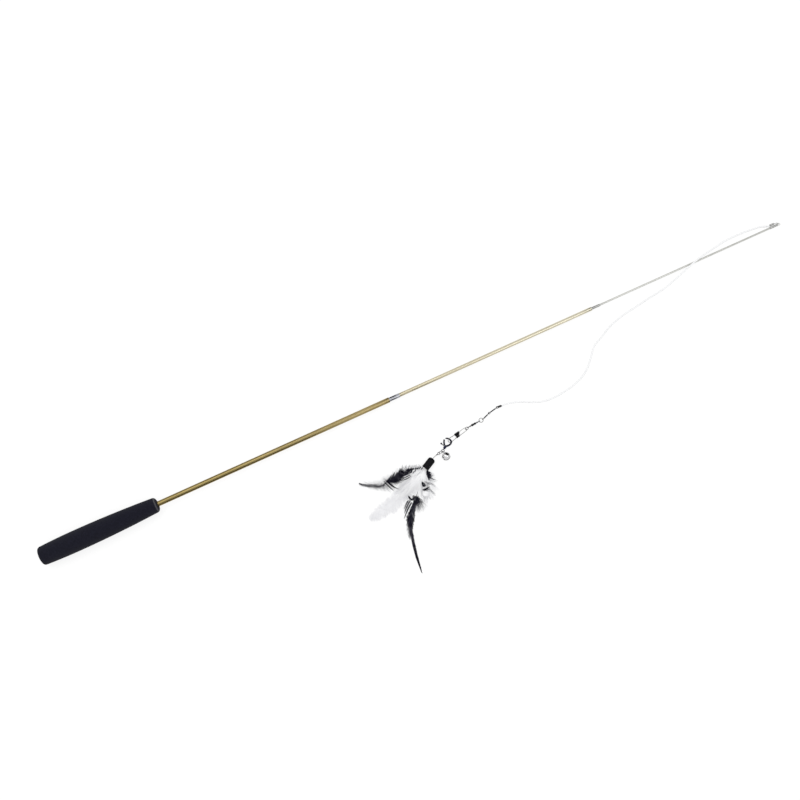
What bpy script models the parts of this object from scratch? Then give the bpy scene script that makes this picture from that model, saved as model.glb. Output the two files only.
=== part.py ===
# Telescopic cat teaser wand: a foam grip, two tubes and a rod that slide into each other, and a cord
# with a leader, swivel, snap, clasp, bell and feather lure on its end.
# Metres, +Z up. The extended wand lies along +X with its tip at +X, its grip and its tip cap touch z = 0,
# and the origin is under the middle of its length.
import math

import bmesh
import bpy
from mathutils import Matrix, Vector

# Clearances
RUN_GAP = 0.00008        # radial gap between a tube and the collar or bush that runs on it
SEAT_GAP = 0.00015       # radial gap of a part that is seated in another
FACE_GAP = 0.0003        # gap between faces, and between parts that lie beside each other
LINK_GAP = 0.00022       # slack between two rings that hang in each other
FLOOR_GAP = 0.0001       # height of the lure parts over the surface that the wand lies on

# How far a stem runs past the middle of the ring wire that it joins, and its share of that wire's radius
JOIN_DEPTH = 0.3
STEM_SHARE = 0.85

# Lengths along the wand, from the butt to the tip
GRIP_LENGTH = 0.1482
TUBE_1_EXPOSED = 0.2994
COLLAR_1_NOSE = 0.0136
TUBE_2_EXPOSED = 0.2555
COLLAR_2_NOSE = 0.0111
ROD_EXPOSED = 0.2327
TIP_CAP_LENGTH = 0.0108

# Grip
GRIP_REAR_RADIUS = 0.0112
GRIP_MAX_RADIUS = 0.01255
GRIP_MAX_STATION = 0.045
GRIP_FRONT_RADIUS = 0.0089
GRIP_REAR_ROUND = 0.0028
GRIP_FRONT_ROUND = 0.0042
GRIP_SWELL_STEPS = 5
GRIP_TAPER_STEPS = 12
CORE_WALL = 0.00105
CORE_RECESS = 0.004
BUTT_FLANGE_THICKNESS = 0.002
BUTT_FOAM_RIM = 0.0007
BUTT_STEM_LENGTH = 0.018

# Tubes and rod
TUBE_1_RADIUS = 0.0031
TUBE_WALL = 0.0004
COLLAR_1_WALL = 0.00029
COLLAR_2_WALL = 0.00059
COLLAR_2_NOSE_WALL = 0.00032
COLLAR_1_SHANK = 0.008
COLLAR_2_SHANK = 0.006
BUSH_2_LENGTH = 0.010
BUSH_3_LENGTH = 0.008
END_PLUG_FLANGE = 0.001
END_PLUG_LENGTH = 0.008
TIP_CAP_WALL = 0.0003
TIP_CAP_BORE_DEPTH = 0.0082
EYE_WIRE = 0.00045
EYE_STEM_PLAY = 0.0001
EYE_RING_RADIUS = 0.00135

# Cord and the crimp at the tip
CORD_RADIUS = 0.001
TIP_CRIMP_RADIUS = 0.0013
TIP_CRIMP_LENGTH = 0.0062
TIP_CRIMP_SETBACK = 0.0013
LOOP_WIRE = 0.00022
LOOP_TURN_RADIUS = 0.0009
LOOP_HALF_TURN = math.radians(120.0)
CORD_POINT_SPACING = 0.0056

# The cord's route: each point's way back from the tip crimp and sideways, and its height over the surface
CORD_ROUTE = [
    (-0.0035, 0.0005, 0.0015), (-0.0111, 0.0034, 0.0020), (-0.0338, 0.0054, 0.0030),
    (-0.0574, 0.0051, 0.0045), (-0.0762, 0.0023, 0.0062), (-0.0950, -0.0009, 0.0078),
    (-0.1131, -0.0057, 0.0078), (-0.1281, -0.0106, 0.0068), (-0.1407, -0.0142, 0.0055),
    (-0.1540, -0.0175, 0.0040), (-0.1742, -0.0201, 0.0022), (-0.1935, -0.0231, 0.0011),
    (-0.2132, -0.0262, 0.0011), (-0.2328, -0.0318, 0.0011), (-0.2455, -0.0382, 0.0011),
    (-0.2548, -0.0424, 0.0011), (-0.2617, -0.0465, 0.0011), (-0.2708, -0.0568, 0.0011),
    (-0.2795, -0.0660, 0.0011), (-0.2901, -0.0731, 0.0011), (-0.3047, -0.0785, 0.0011),
    (-0.3233, -0.0815, 0.0011), (-0.3380, -0.0820, 0.0011), (-0.3501, -0.0798, 0.0011),
    (-0.3630, -0.0743, 0.0011), (-0.3718, -0.0699, 0.0011), (-0.3814, -0.0667, 0.0011),
    (-0.3875, -0.0655, 0.0011), (-0.3938, -0.0649, 0.0012),
]

# Leader: crimp, two twisted links and a ring
LURE_CRIMP_HEADING = math.radians(177.0)
LURE_CRIMP_RADIUS = 0.00125
LURE_CRIMP_LENGTH = 0.0046
CRIMP_EYE_RADIUS = 0.00115
CRIMP_EYE_WIRE = 0.00035
LINK_1_HEADING = math.radians(191.0)
LINK_1_LENGTH = 0.0106
LINK_2_HEADING = math.radians(200.0)
LINK_2_LENGTH = 0.0091
LINK_EYE_RADIUS = 0.00105
LINK_EYE_WIRE = 0.00032
LINK_SHANK_RADIUS = 0.0006
RING_1_RADIUS = 0.00255
RING_1_WIRE = 0.00035

# Barrel swivel and the small ring after it
SWIVEL_HEADING = math.radians(184.5)
SWIVEL_EYE_RADIUS = 0.00135
SWIVEL_EYE_WIRE = 0.00035
SWIVEL_NECK_LENGTH = 0.0028
BARREL_LENGTH = 0.0062
BARREL_RADIUS = 0.0012
BARREL_RIM = 0.0002
BARREL_END_WALL = 0.0007
BARREL_CHAMBER_RADIUS = 0.0009
SWIVEL_HEAD_RADIUS = 0.0007
SWIVEL_HEAD_LENGTH = 0.0011
RING_2_RADIUS = 0.0019
RING_2_WIRE = 0.00035
RING_2_ROLL = math.radians(30.0)

# Safety snap
SNAP_HEADING = math.radians(191.0)
SNAP_ROLL = math.radians(-27.0)
SNAP_WIRE = 0.0004
SNAP_NEAR_HALF = 0.0022
SNAP_FAR_HALF = 0.0028
SNAP_STRAIGHT = 0.0145
SNAP_SPREAD = 0.0055
SNAP_NOSE = 0.0042
SNAP_PLATE_START = 0.0078
SNAP_PLATE_LENGTH = 0.0056
SNAP_PLATE_WALL = 0.0002

# Lobster clasp, in its own plan: the eye's centre at zero, the hook towards +x
CLASP_HEADING = math.radians(37.5)
CLASP_NOSE_X = 0.0129
CLASP_NOSE_Y = -0.0005
CLASP_WIRE = 0.00065
CLASP_EYE_RADIUS = 0.0016
CLASP_EYE_WIRE = 0.00035
CLASP_BLOCK_REAR = 0.0030
CLASP_BLOCK_LENGTH = 0.0048
CLASP_BLOCK_WIDTH = 0.0038
CLASP_BLOCK_SIDE = 0.0004
CLASP_BLOCK_THICKNESS = 0.0026
CLASP_SLOT_HEIGHT = 0.0014
CLASP_PIVOT = (0.0062, 0.0009)
CLASP_PIN_RADIUS = 0.0004
LEVER_THICKNESS = 0.0010
LEVER_ROOT_RADIUS = 0.0013
LEVER_ARM_RADIUS = 0.00045
LEVER_STALK_RADIUS = 0.00036
LEVER_KNOB_RADIUS = 0.00105
LEVER_KNOB_OFFSET = (0.0006, 0.0050)
SPRING_STRIP = 0.00018
CLASP_RIM_POINT = 5      # the hook point that lies between the snap's legs
HOOK_ROUTE = [
    (0.0068, -0.0010), (0.0088, -0.0028), (0.0112, -0.0040), (0.0136, -0.0041), (0.0153, -0.0026),
    (0.0160, -0.0001), (0.0157, 0.0024), (0.0146, 0.0042),
]
GATE_ROUTE = [(0.0018, 0.0016), (0.0040, 0.0030), (0.0066, 0.0041)]

# Bell
BELL_HEADING = math.radians(273.6)
BELL_RADIUS = 0.0050
BELL_WALL = 0.0005
BELL_BAND = 0.00015
BELL_BAND_HEIGHT = 0.0008
BELL_LOOP_RADIUS = 0.00145
BELL_LOOP_WIRE = 0.00035
BELL_LOOP_LIFT = 0.0003
BELL_SLOT_WIDTH = 0.0010
BELL_SLOT_HALF_ANGLE = math.radians(50.0)
BELL_SLOT_HOLE_RADIUS = 0.0011
BELL_BALL_RADIUS = 0.0014

# Lure mount
RING_3_HEADING = math.radians(187.0)
RING_3_RADIUS = 0.0024
RING_3_WIRE = 0.0003
RING_3_ROLL = math.radians(58.0)
LURE_LOOP_RADIUS = 0.0014
LURE_LOOP_WIRE = 0.0003
LURE_LOOP_ROLL = math.radians(-20.0)
LURE_LOOP_HEADING = math.radians(190.0)
LURE_STEM_HEADING = math.radians(197.0)
LURE_STEM_LENGTH = 0.0082
CAP_HEADING = math.radians(207.4)
CAP_LENGTH = 0.0148
CAP_RADIUS = 0.0045
CAP_WALL = 0.0013
CAP_CROWN = 0.0030
CAP_BORE_DEPTH = 0.0110
CAP_HOLE_PLAY = 0.0005
LURE_BEAD_RADIUS = 0.0009

# Feathers, in the cap's plan: the mouth's centre at zero, x away from the cap, y to its left.
# Each station gives x and the two edges of the blade there.
QUILL_RADIUS = 0.0008
QUILL_DEPTH = 0.006
BLADE_THICKNESS = 0.0010
BLADE_LIFT = 0.0014
BLADE_STEP = 0.005
BLADE_RISE_LENGTH = 0.010    # way from the cap in which a blade gets from its quill's level to its own
HACKLE_DESCENT_START = 0.046
HACKLE_DESCENT_LENGTH = 0.008
HACKLE = [
    (0.0050, -0.0085, -0.0045), (0.0100, -0.0152, -0.0085), (0.0160, -0.0204, -0.0088),
    (0.0220, -0.0230, -0.0094), (0.0310, -0.0242, -0.0122), (0.0385, -0.0268, -0.0140),
    (0.0435, -0.0305, -0.0224), (0.0510, -0.0366, -0.0312), (0.0560, -0.0425, -0.0372),
    (0.0600, -0.0485, -0.0425), (0.0620, -0.0522, -0.0510),
]
PLUME = [
    (0.0050, -0.0010, 0.0060), (0.0100, -0.0035, 0.0108), (0.0180, -0.0062, 0.0131),
    (0.0300, -0.0078, 0.0125), (0.0400, -0.0090, 0.0080), (0.0525, -0.0130, 0.0055),
    (0.0620, -0.0158, 0.0036), (0.0720, -0.0182, -0.0008), (0.0800, -0.0196, -0.0050),
    (0.0860, -0.0192, -0.0105), (0.0887, -0.0160, -0.0140),
]
LONG_DESCENT_START = 0.052
LONG_DESCENT_LENGTH = 0.012
LONG_FEATHER = [
    (0.0120, 0.0050, 0.0075), (0.0250, 0.0065, 0.0118), (0.0330, 0.0078, 0.0140),
    (0.0385, 0.0096, 0.0160), (0.0425, 0.0135, 0.0174), (0.0500, 0.0150, 0.0215),
    (0.0580, 0.0178, 0.0273), (0.0635, 0.0218, 0.0297), (0.0680, 0.0276, 0.0332),
    (0.0730, 0.0332, 0.0378), (0.0820, 0.0441, 0.0481), (0.0880, 0.0535, 0.0572),
    (0.0940, 0.0625, 0.0657), (0.0985, 0.0700, 0.0712),
]
TUFT = [
    (0.0018, -0.0020, 0.0045), (0.0050, -0.0055, 0.0175), (0.0090, -0.0086, 0.0240),
    (0.0125, -0.0100, 0.0280), (0.0200, -0.0114, 0.0266), (0.0300, -0.0113, 0.0190),
    (0.0360, -0.0080, 0.0110), (0.0390, -0.0040, 0.0060), (0.0405, -0.0010, 0.0025),
]
TUFT_HALF_THICKNESS = 0.0027
TUFT_ROOT_SHARE = 0.3
TUFT_SWELL_LENGTH = 0.020

# Fineness of round shapes
GRIP_SIDES = 32
TUBE_SIDES = 24
SMALL_SIDES = 16
RING_STEPS = 16
RING_SIDES = 8
ROUTE_STEPS = 20
LOOP_STEPS = 10
SNAP_BEND_STEPS = 5
SNAP_LEG_STEPS = 4
SNAP_NOSE_STEPS = 6
BALL_STEPS = 8
SHELL_STEPS = 8
CROWN_STEPS = 5
EDGE_STEPS = 5

# Places along the wand, measured on its axis from the butt
TUBE_1_END = GRIP_LENGTH + TUBE_1_EXPOSED
COLLAR_1_END = TUBE_1_END + COLLAR_1_NOSE
TUBE_2_END = COLLAR_1_END + TUBE_2_EXPOSED
COLLAR_2_END = TUBE_2_END + COLLAR_2_NOSE
TIP_CAP_REAR = COLLAR_2_END + ROD_EXPOSED
TIP_CAP_END = TIP_CAP_REAR + TIP_CAP_LENGTH
TOTAL_LENGTH = TIP_CAP_END + EYE_STEM_PLAY + 2 * (EYE_RING_RADIUS + EYE_WIRE)
STEM_END = BUTT_FLANGE_THICKNESS + BUTT_STEM_LENGTH
TUBE_1_REAR = STEM_END + FACE_GAP + END_PLUG_FLANGE + FACE_GAP
BUSH_2_FRONT = TUBE_1_END - COLLAR_1_SHANK - FACE_GAP
TUBE_2_REAR = BUSH_2_FRONT - BUSH_2_LENGTH
BUSH_3_FRONT = TUBE_2_END - COLLAR_2_SHANK - FACE_GAP
ROD_REAR = BUSH_3_FRONT - BUSH_3_LENGTH

# Radii that follow from the tube's size, its wall and the collars
TUBE_1_BORE = TUBE_1_RADIUS - TUBE_WALL
COLLAR_1_RADIUS = TUBE_1_BORE - RUN_GAP
TUBE_2_RADIUS = COLLAR_1_RADIUS - COLLAR_1_WALL - RUN_GAP
TUBE_2_BORE = TUBE_2_RADIUS - TUBE_WALL
COLLAR_2_RADIUS = TUBE_2_BORE - RUN_GAP
ROD_RADIUS = COLLAR_2_RADIUS - COLLAR_2_WALL - RUN_GAP
TIP_CAP_RADIUS = ROD_RADIUS + SEAT_GAP + TIP_CAP_WALL
CORE_BORE = TUBE_1_RADIUS + SEAT_GAP
CORE_RADIUS = CORE_BORE + CORE_WALL
FOAM_BORE = CORE_RADIUS + SEAT_GAP
BUTT_SEAT_RADIUS = GRIP_REAR_RADIUS - GRIP_REAR_ROUND - BUTT_FOAM_RIM
CAP_BORE = CAP_RADIUS - CAP_WALL


def material(name, colour, roughness, metallic=0.0):
    """One Principled material with a part's colour, roughness and metallic value."""
    made = bpy.data.materials.new(name)
    made.use_nodes = True
    shader = made.node_tree.nodes["Principled BSDF"]
    shader.inputs["Base Color"].default_value = (*colour, 1.0)
    shader.inputs["Roughness"].default_value = roughness
    shader.inputs["Metallic"].default_value = metallic
    return made


def make_materials():
    return {
        "foam": material("foam", (0.018, 0.019, 0.022), 0.9),
        "plastic": material("plastic", (0.03, 0.03, 0.032), 0.5),
        "gold": material("gold", (0.50, 0.40, 0.20), 0.32, 1.0),
        "pale_gold": material("pale_gold", (0.62, 0.52, 0.31), 0.3, 1.0),
        "steel": material("steel", (0.62, 0.61, 0.58), 0.25, 1.0),
        "rod": material("rod", (0.40, 0.41, 0.38), 0.35, 1.0),
        "dark_metal": material("dark_metal", (0.06, 0.06, 0.07), 0.35, 1.0),
        "gloss_black": material("gloss_black", (0.02, 0.02, 0.022), 0.2),
        "bell_metal": material("bell_metal", (0.45, 0.45, 0.47), 0.12, 1.0),
        "bush": material("bush", (0.75, 0.75, 0.72), 0.5),
        "cord": material("cord", (0.80, 0.81, 0.80), 0.6),
        "feather_dark": material("feather_dark", (0.05, 0.045, 0.045), 0.7),
        "feather_white": material("feather_white", (0.80, 0.79, 0.77), 0.8),
    }


def finish_mesh(mesh, smooth_angle=math.radians(35.0)):
    """Shades a mesh smooth, apart from its sharp edges."""
    mesh.shade_smooth()
    mesh.set_sharp_from_angle(angle=smooth_angle)


def make_object(name, mesh, look, place):
    made = bpy.data.objects.new(name, mesh)
    bpy.context.scene.collection.objects.link(made)
    made.data.materials.clear()
    made.data.materials.append(look)
    made.matrix_world = place
    return made


def mesh_from(build):
    """A new mesh filled by the function build, which gets an empty bmesh."""
    work = bmesh.new()
    build(work)
    bmesh.ops.remove_doubles(work, verts=work.verts, dist=1e-7)
    bmesh.ops.recalc_face_normals(work, faces=work.faces)
    mesh = bpy.data.meshes.new("shape")
    work.to_mesh(mesh)
    work.free()
    finish_mesh(mesh)
    return mesh


def turned_mesh(outline, sides):
    """A solid turned about the x axis; outline lists (x, radius), and closes itself off the axis."""
    def build(work):
        corners = [work.verts.new((x, 0.0, radius)) for x, radius in outline]
        edges = [work.edges.new(pair) for pair in zip(corners, corners[1:])]
        if outline[0][1] > 0.0 or outline[-1][1] > 0.0:
            edges.append(work.edges.new((corners[-1], corners[0])))
        bmesh.ops.spin(work, geom=corners + edges, cent=(0, 0, 0), axis=(1, 0, 0),
                       angle=2 * math.pi, steps=sides, use_merge=True)
    return mesh_from(build)


def tube_outline(start, end, inner, outer):
    return [(start, inner), (start, outer), (end, outer), (end, inner)]


def arc(centre_x, centre_r, radius, start, end, steps):
    """Points of an arc in the (x, radius) plane, from angle start to angle end."""
    turns = [start + (end - start) * i / steps for i in range(steps + 1)]
    return [(centre_x + radius * math.cos(a), centre_r + radius * math.sin(a)) for a in turns]


def ball_mesh(radius):
    return turned_mesh(arc(0.0, 0.0, radius, math.pi, 0.0, BALL_STEPS), SMALL_SIDES)


def ring_mesh(radius, wire):
    """A round wire ring that lies flat about the origin."""
    def build(work):
        section = []
        for i in range(RING_SIDES):
            a = 2 * math.pi * i / RING_SIDES
            section.append(work.verts.new((radius + wire * math.cos(a), 0.0, wire * math.sin(a))))
        edges = [work.edges.new((section[i - 1], section[i])) for i in range(RING_SIDES)]
        bmesh.ops.spin(work, geom=section + edges, cent=(0, 0, 0), axis=(0, 0, 1),
                       angle=2 * math.pi, steps=RING_STEPS, use_merge=True)
    return mesh_from(build)


def smooth_route(route, spacing):
    """Points at an even spacing on a smooth curve through the points of the route."""
    route = [Vector(point) for point in route]
    ends = [2 * route[0] - route[1]] + route + [2 * route[-1] - route[-2]]
    fine = []
    for a, b, c, d in zip(ends, ends[1:], ends[2:], ends[3:]):
        for i in range(ROUTE_STEPS):
            t = i / ROUTE_STEPS
            fine.append(0.5 * (2 * b + (c - a) * t + (2 * a - 5 * b + 4 * c - d) * t * t
                               + (3 * b - a - 3 * c + d) * t ** 3))
    fine.append(route[-1])
    reach = [0.0]
    for a, b in zip(fine, fine[1:]):
        reach.append(reach[-1] + (b - a).length)
    count = max(2, round(reach[-1] / spacing))
    points = []
    at = 0
    for i in range(count + 1):
        wanted = reach[-1] * i / count
        while at < len(fine) - 2 and reach[at + 1] < wanted:
            at += 1
        share = (wanted - reach[at]) / (reach[at + 1] - reach[at])
        points.append(fine[at].lerp(fine[at + 1], share))
    return points


def wire_curve(points, wire, cyclic=False, resolution=1):
    curve = bpy.data.curves.new("wire", "CURVE")
    curve.dimensions = "3D"
    curve.bevel_depth = wire
    curve.bevel_resolution = resolution
    curve.use_fill_caps = True
    spline = curve.splines.new("POLY")
    spline.points.add(len(points) - 1)
    for target, point in zip(spline.points, points):
        target.co = (*point, 1.0)
    spline.use_cyclic_u = cyclic
    spline.use_smooth = True
    return curve


def wire_mesh(points, wire, cyclic=False, resolution=1):
    """A round wire along a list of points, as a mesh."""
    holder = bpy.data.objects.new("wire", wire_curve(points, wire, cyclic, resolution))
    bpy.context.scene.collection.objects.link(holder)
    bpy.context.view_layer.update()
    evaluated = holder.evaluated_get(bpy.context.evaluated_depsgraph_get())
    mesh = bpy.data.meshes.new_from_object(evaluated)
    bpy.data.objects.remove(holder)
    finish_mesh(mesh)
    return mesh


def prism_mesh(outline, low, high):
    """A flat outline in plan, pulled up from height low to height high."""
    def build(work):
        corners = [work.verts.new((x, y, low)) for x, y in outline]
        face = work.faces.new(corners)
        moved = bmesh.ops.extrude_face_region(work, geom=[face])["geom"]
        raised = [item for item in moved if isinstance(item, bmesh.types.BMVert)]
        bmesh.ops.translate(work, verts=raised, vec=(0, 0, high - low))
    return mesh_from(build)


def rounded_block(start, end, right, left, corner, steps=3):
    """The plan outline of a block with round corners."""
    outline = []
    centres = [(end - corner, left - corner, 0.0), (start + corner, left - corner, 90.0),
               (start + corner, right + corner, 180.0), (end - corner, right + corner, 270.0)]
    for x, y, turn in centres:
        for i in range(steps + 1):
            a = math.radians(turn + 90.0 * i / steps)
            outline.append((x + corner * math.cos(a), y + corner * math.sin(a)))
    return outline


def combine(mesh, tools, operation):
    """Joins tools to a mesh, or cuts them from it; tools are pairs of a mesh and its place."""
    holder = bpy.data.objects.new("holder", mesh)
    bpy.context.scene.collection.objects.link(holder)
    cutters = []
    for shape, place in tools:
        cutter = bpy.data.objects.new("cutter", shape)
        bpy.context.scene.collection.objects.link(cutter)
        cutter.matrix_world = place
        cutter.hide_render = True
        cutter.display_type = "WIRE"
        step = holder.modifiers.new(operation.lower(), "BOOLEAN")
        step.operation = operation
        step.solver = "EXACT"
        step.object = cutter
        cutters.append(cutter)
    bpy.context.view_layer.update()
    evaluated = holder.evaluated_get(bpy.context.evaluated_depsgraph_get())
    result = bpy.data.meshes.new_from_object(evaluated)
    for item in [holder] + cutters:
        bpy.data.objects.remove(item)
    finish_mesh(result)
    return result


def joined(mesh, *tools):
    return combine(mesh, tools, "UNION")


def cut(mesh, *tools):
    return combine(mesh, tools, "DIFFERENCE")


def at(x=0.0, y=0.0, z=0.0):
    return Matrix.Translation((x, y, z))


def along(point, heading, pitch=0.0, roll=0.0):
    """A place whose x axis points to a heading in plan, raised by pitch and rolled about itself."""
    return (Matrix.Translation(point) @ Matrix.Rotation(heading, 4, "Z")
            @ Matrix.Rotation(-pitch, 4, "Y") @ Matrix.Rotation(roll, 4, "X"))


def upright():
    """Stands a flat ring on its edge, in the plane of its x axis and +Z."""
    return Matrix.Rotation(math.radians(90.0), 4, "X")


def ahead(point, heading, distance, height=None):
    """The point at a distance in plan, at its own height or at another."""
    z = point.z if height is None else height
    x = point.x + distance * math.cos(heading)
    y = point.y + distance * math.sin(heading)
    return Vector((x, y, z))


def way(heading, pitch=0.0):
    """The unit vector of a heading in plan, raised by pitch."""
    flat = math.cos(pitch)
    return Vector((flat * math.cos(heading), flat * math.sin(heading), math.sin(pitch)))


def hung_wire(centre, pull, radius, wire, hung):
    """Where the wire of a hung ring lies inside the ring about centre, when it is pulled along pull."""
    return centre + pull * (radius - wire - hung - LINK_GAP)


def pivot(name, point, children):
    """An empty on a joint's axis that carries the pieces which move about it."""
    holder = bpy.data.objects.new(name, None)
    holder.empty_display_size = 0.003
    holder.location = point
    bpy.context.scene.collection.objects.link(holder)
    bpy.context.view_layer.update()
    for child in children:
        child.parent = holder
        child.matrix_parent_inverse = holder.matrix_world.inverted()
    return holder


def grip_radius(station):
    """Radius of the foam at a distance from the butt: it swells to its thickest place, then tapers."""
    if station < GRIP_MAX_STATION:
        share = 1.0 - station / GRIP_MAX_STATION
        return GRIP_MAX_RADIUS - (GRIP_MAX_RADIUS - GRIP_REAR_RADIUS) * share ** 2
    share = (station - GRIP_MAX_STATION) / (GRIP_LENGTH - GRIP_MAX_STATION)
    return GRIP_MAX_RADIUS - (GRIP_MAX_RADIUS - GRIP_FRONT_RADIUS) * share ** 2


def grip_outline():
    """The foam's outer side, from the edge of its rear face to the edge of its front face."""
    rear = arc(GRIP_REAR_ROUND, grip_radius(GRIP_REAR_ROUND) - GRIP_REAR_ROUND, GRIP_REAR_ROUND,
               math.pi, math.pi / 2, EDGE_STEPS)
    front_start = GRIP_LENGTH - GRIP_FRONT_ROUND
    front = arc(front_start, grip_radius(front_start) - GRIP_FRONT_ROUND, GRIP_FRONT_ROUND,
                math.pi / 2, 0.0, EDGE_STEPS)
    swell = [GRIP_REAR_ROUND + (GRIP_MAX_STATION - GRIP_REAR_ROUND) * i / GRIP_SWELL_STEPS
             for i in range(1, GRIP_SWELL_STEPS + 1)]
    taper = [GRIP_MAX_STATION + (front_start - GRIP_MAX_STATION) * i / GRIP_TAPER_STEPS
             for i in range(1, GRIP_TAPER_STEPS)]
    return rear + [(s, grip_radius(s)) for s in swell + taper] + front


def resting_tilt():
    """The wand's slope when its grip and its tip cap both touch the surface."""
    slopes = [math.atan2(radius - TIP_CAP_RADIUS, TIP_CAP_END - s) for s, radius in grip_outline()]
    return max(slopes)


def wand_place():
    tilt = resting_tilt()
    height = max(s * math.sin(tilt) + radius * math.cos(tilt) for s, radius in grip_outline())
    return at(-TOTAL_LENGTH / 2, 0.0, height) @ Matrix.Rotation(tilt, 4, "Y")


def make_grip(looks, wand):
    shell = [(0.0, BUTT_SEAT_RADIUS)] + grip_outline()
    seat_depth = BUTT_FLANGE_THICKNESS + FACE_GAP
    shell += [(GRIP_LENGTH, FOAM_BORE), (seat_depth, FOAM_BORE), (seat_depth, BUTT_SEAT_RADIUS)]
    foam = make_object("foam_grip", turned_mesh(shell, GRIP_SIDES), looks["foam"], wand)
    core_end = GRIP_LENGTH - CORE_RECESS
    core = tube_outline(seat_depth, core_end, CORE_BORE, CORE_RADIUS)
    core = make_object("grip_core", turned_mesh(core, TUBE_SIDES), looks["plastic"], wand)
    flange = BUTT_SEAT_RADIUS - FACE_GAP
    stem = CORE_BORE - SEAT_GAP
    plug = [(0.0, 0.0), (0.0, flange), (BUTT_FLANGE_THICKNESS, flange), (BUTT_FLANGE_THICKNESS, stem),
            (STEM_END, stem), (STEM_END, 0.0)]
    plug = make_object("butt_plug", turned_mesh(plug, TUBE_SIDES), looks["plastic"], wand)
    return [foam, core, plug]


def make_tube_1(looks, wand):
    tube = tube_outline(TUBE_1_REAR, TUBE_1_END, TUBE_1_BORE, TUBE_1_RADIUS)
    tube = make_object("tube_1", turned_mesh(tube, TUBE_SIDES), looks["gold"], wand)
    flange_start = STEM_END + FACE_GAP
    flange_end = flange_start + END_PLUG_FLANGE
    spigot = TUBE_1_BORE - SEAT_GAP
    plug_end = flange_end + END_PLUG_LENGTH
    plug = [(flange_start, 0.0), (flange_start, TUBE_1_RADIUS), (flange_end, TUBE_1_RADIUS),
            (flange_end, spigot), (plug_end, spigot), (plug_end, 0.0)]
    plug = make_object("tube_1_end_plug", turned_mesh(plug, TUBE_SIDES), looks["plastic"], wand)
    bore = TUBE_2_RADIUS + RUN_GAP
    collar = tube_outline(TUBE_1_END - COLLAR_1_SHANK, COLLAR_1_END, bore, COLLAR_1_RADIUS)
    collar = make_object("tube_1_collar", turned_mesh(collar, TUBE_SIDES), looks["steel"], wand)
    return [tube, plug, collar]


def make_tube_2(looks, wand):
    tube = tube_outline(TUBE_2_REAR, TUBE_2_END, TUBE_2_BORE, TUBE_2_RADIUS)
    tube = make_object("tube_2", turned_mesh(tube, TUBE_SIDES), looks["pale_gold"], wand)
    bush = tube_outline(TUBE_2_REAR, BUSH_2_FRONT, TUBE_2_RADIUS + RUN_GAP, COLLAR_1_RADIUS)
    bush = make_object("tube_2_bush", turned_mesh(bush, TUBE_SIDES), looks["bush"], wand)
    bore = ROD_RADIUS + RUN_GAP
    nose = bore + COLLAR_2_NOSE_WALL
    collar = [(TUBE_2_END - COLLAR_2_SHANK, bore), (TUBE_2_END - COLLAR_2_SHANK, COLLAR_2_RADIUS),
              (TUBE_2_END, COLLAR_2_RADIUS), (TUBE_2_END + RUN_GAP, nose), (COLLAR_2_END, nose),
              (COLLAR_2_END, bore)]
    collar = make_object("tube_2_collar", turned_mesh(collar, TUBE_SIDES), looks["steel"], wand)
    return [tube, bush, collar]


def make_rod(looks, wand):
    rod_end = TIP_CAP_REAR + TIP_CAP_BORE_DEPTH - FACE_GAP
    rod = [(ROD_REAR, 0.0), (ROD_REAR, ROD_RADIUS), (rod_end, ROD_RADIUS), (rod_end, 0.0)]
    rod = make_object("rod_3", turned_mesh(rod, TUBE_SIDES), looks["rod"], wand)
    bush = tube_outline(ROD_REAR, BUSH_3_FRONT, ROD_RADIUS + RUN_GAP, COLLAR_2_RADIUS)
    bush = make_object("rod_3_bush", turned_mesh(bush, TUBE_SIDES), looks["bush"], wand)
    return [rod, bush]


def make_tip(looks, wand):
    bore = ROD_RADIUS + SEAT_GAP
    hole = EYE_WIRE + EYE_STEM_PLAY
    bore_end = TIP_CAP_REAR + TIP_CAP_BORE_DEPTH
    cap = [(TIP_CAP_REAR, bore), (TIP_CAP_REAR, TIP_CAP_RADIUS), (TIP_CAP_END, TIP_CAP_RADIUS),
           (TIP_CAP_END, hole), (bore_end, hole), (bore_end, bore)]
    cap = make_object("tip_cap", turned_mesh(cap, TUBE_SIDES), looks["rod"], wand)
    stem_start = bore_end + FACE_GAP
    centre = TIP_CAP_END + EYE_STEM_PLAY + EYE_WIRE + EYE_RING_RADIUS
    stem_end = centre - EYE_RING_RADIUS + JOIN_DEPTH * EYE_WIRE
    stem_radius = STEM_SHARE * EYE_WIRE
    stem = turned_mesh([(stem_start, 0.0), (stem_start, stem_radius), (stem_end, stem_radius),
                        (stem_end, 0.0)], RING_SIDES)
    eye = joined(stem, (ring_mesh(EYE_RING_RADIUS, EYE_WIRE), at(centre)))
    eye = make_object("tip_eye", eye, looks["steel"], wand)
    return [cap, eye]


def tip_crimp_rear(wand):
    """The centre of the rear face of the crimp that lies beside the tip cap."""
    beside = TIP_CAP_RADIUS + FACE_GAP + TIP_CRIMP_RADIUS
    rear = wand @ Vector((TIP_CAP_REAR + TIP_CRIMP_SETBACK, beside, 0.0))
    return Vector((rear.x, rear.y, TIP_CRIMP_RADIUS + FLOOR_GAP))


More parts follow.
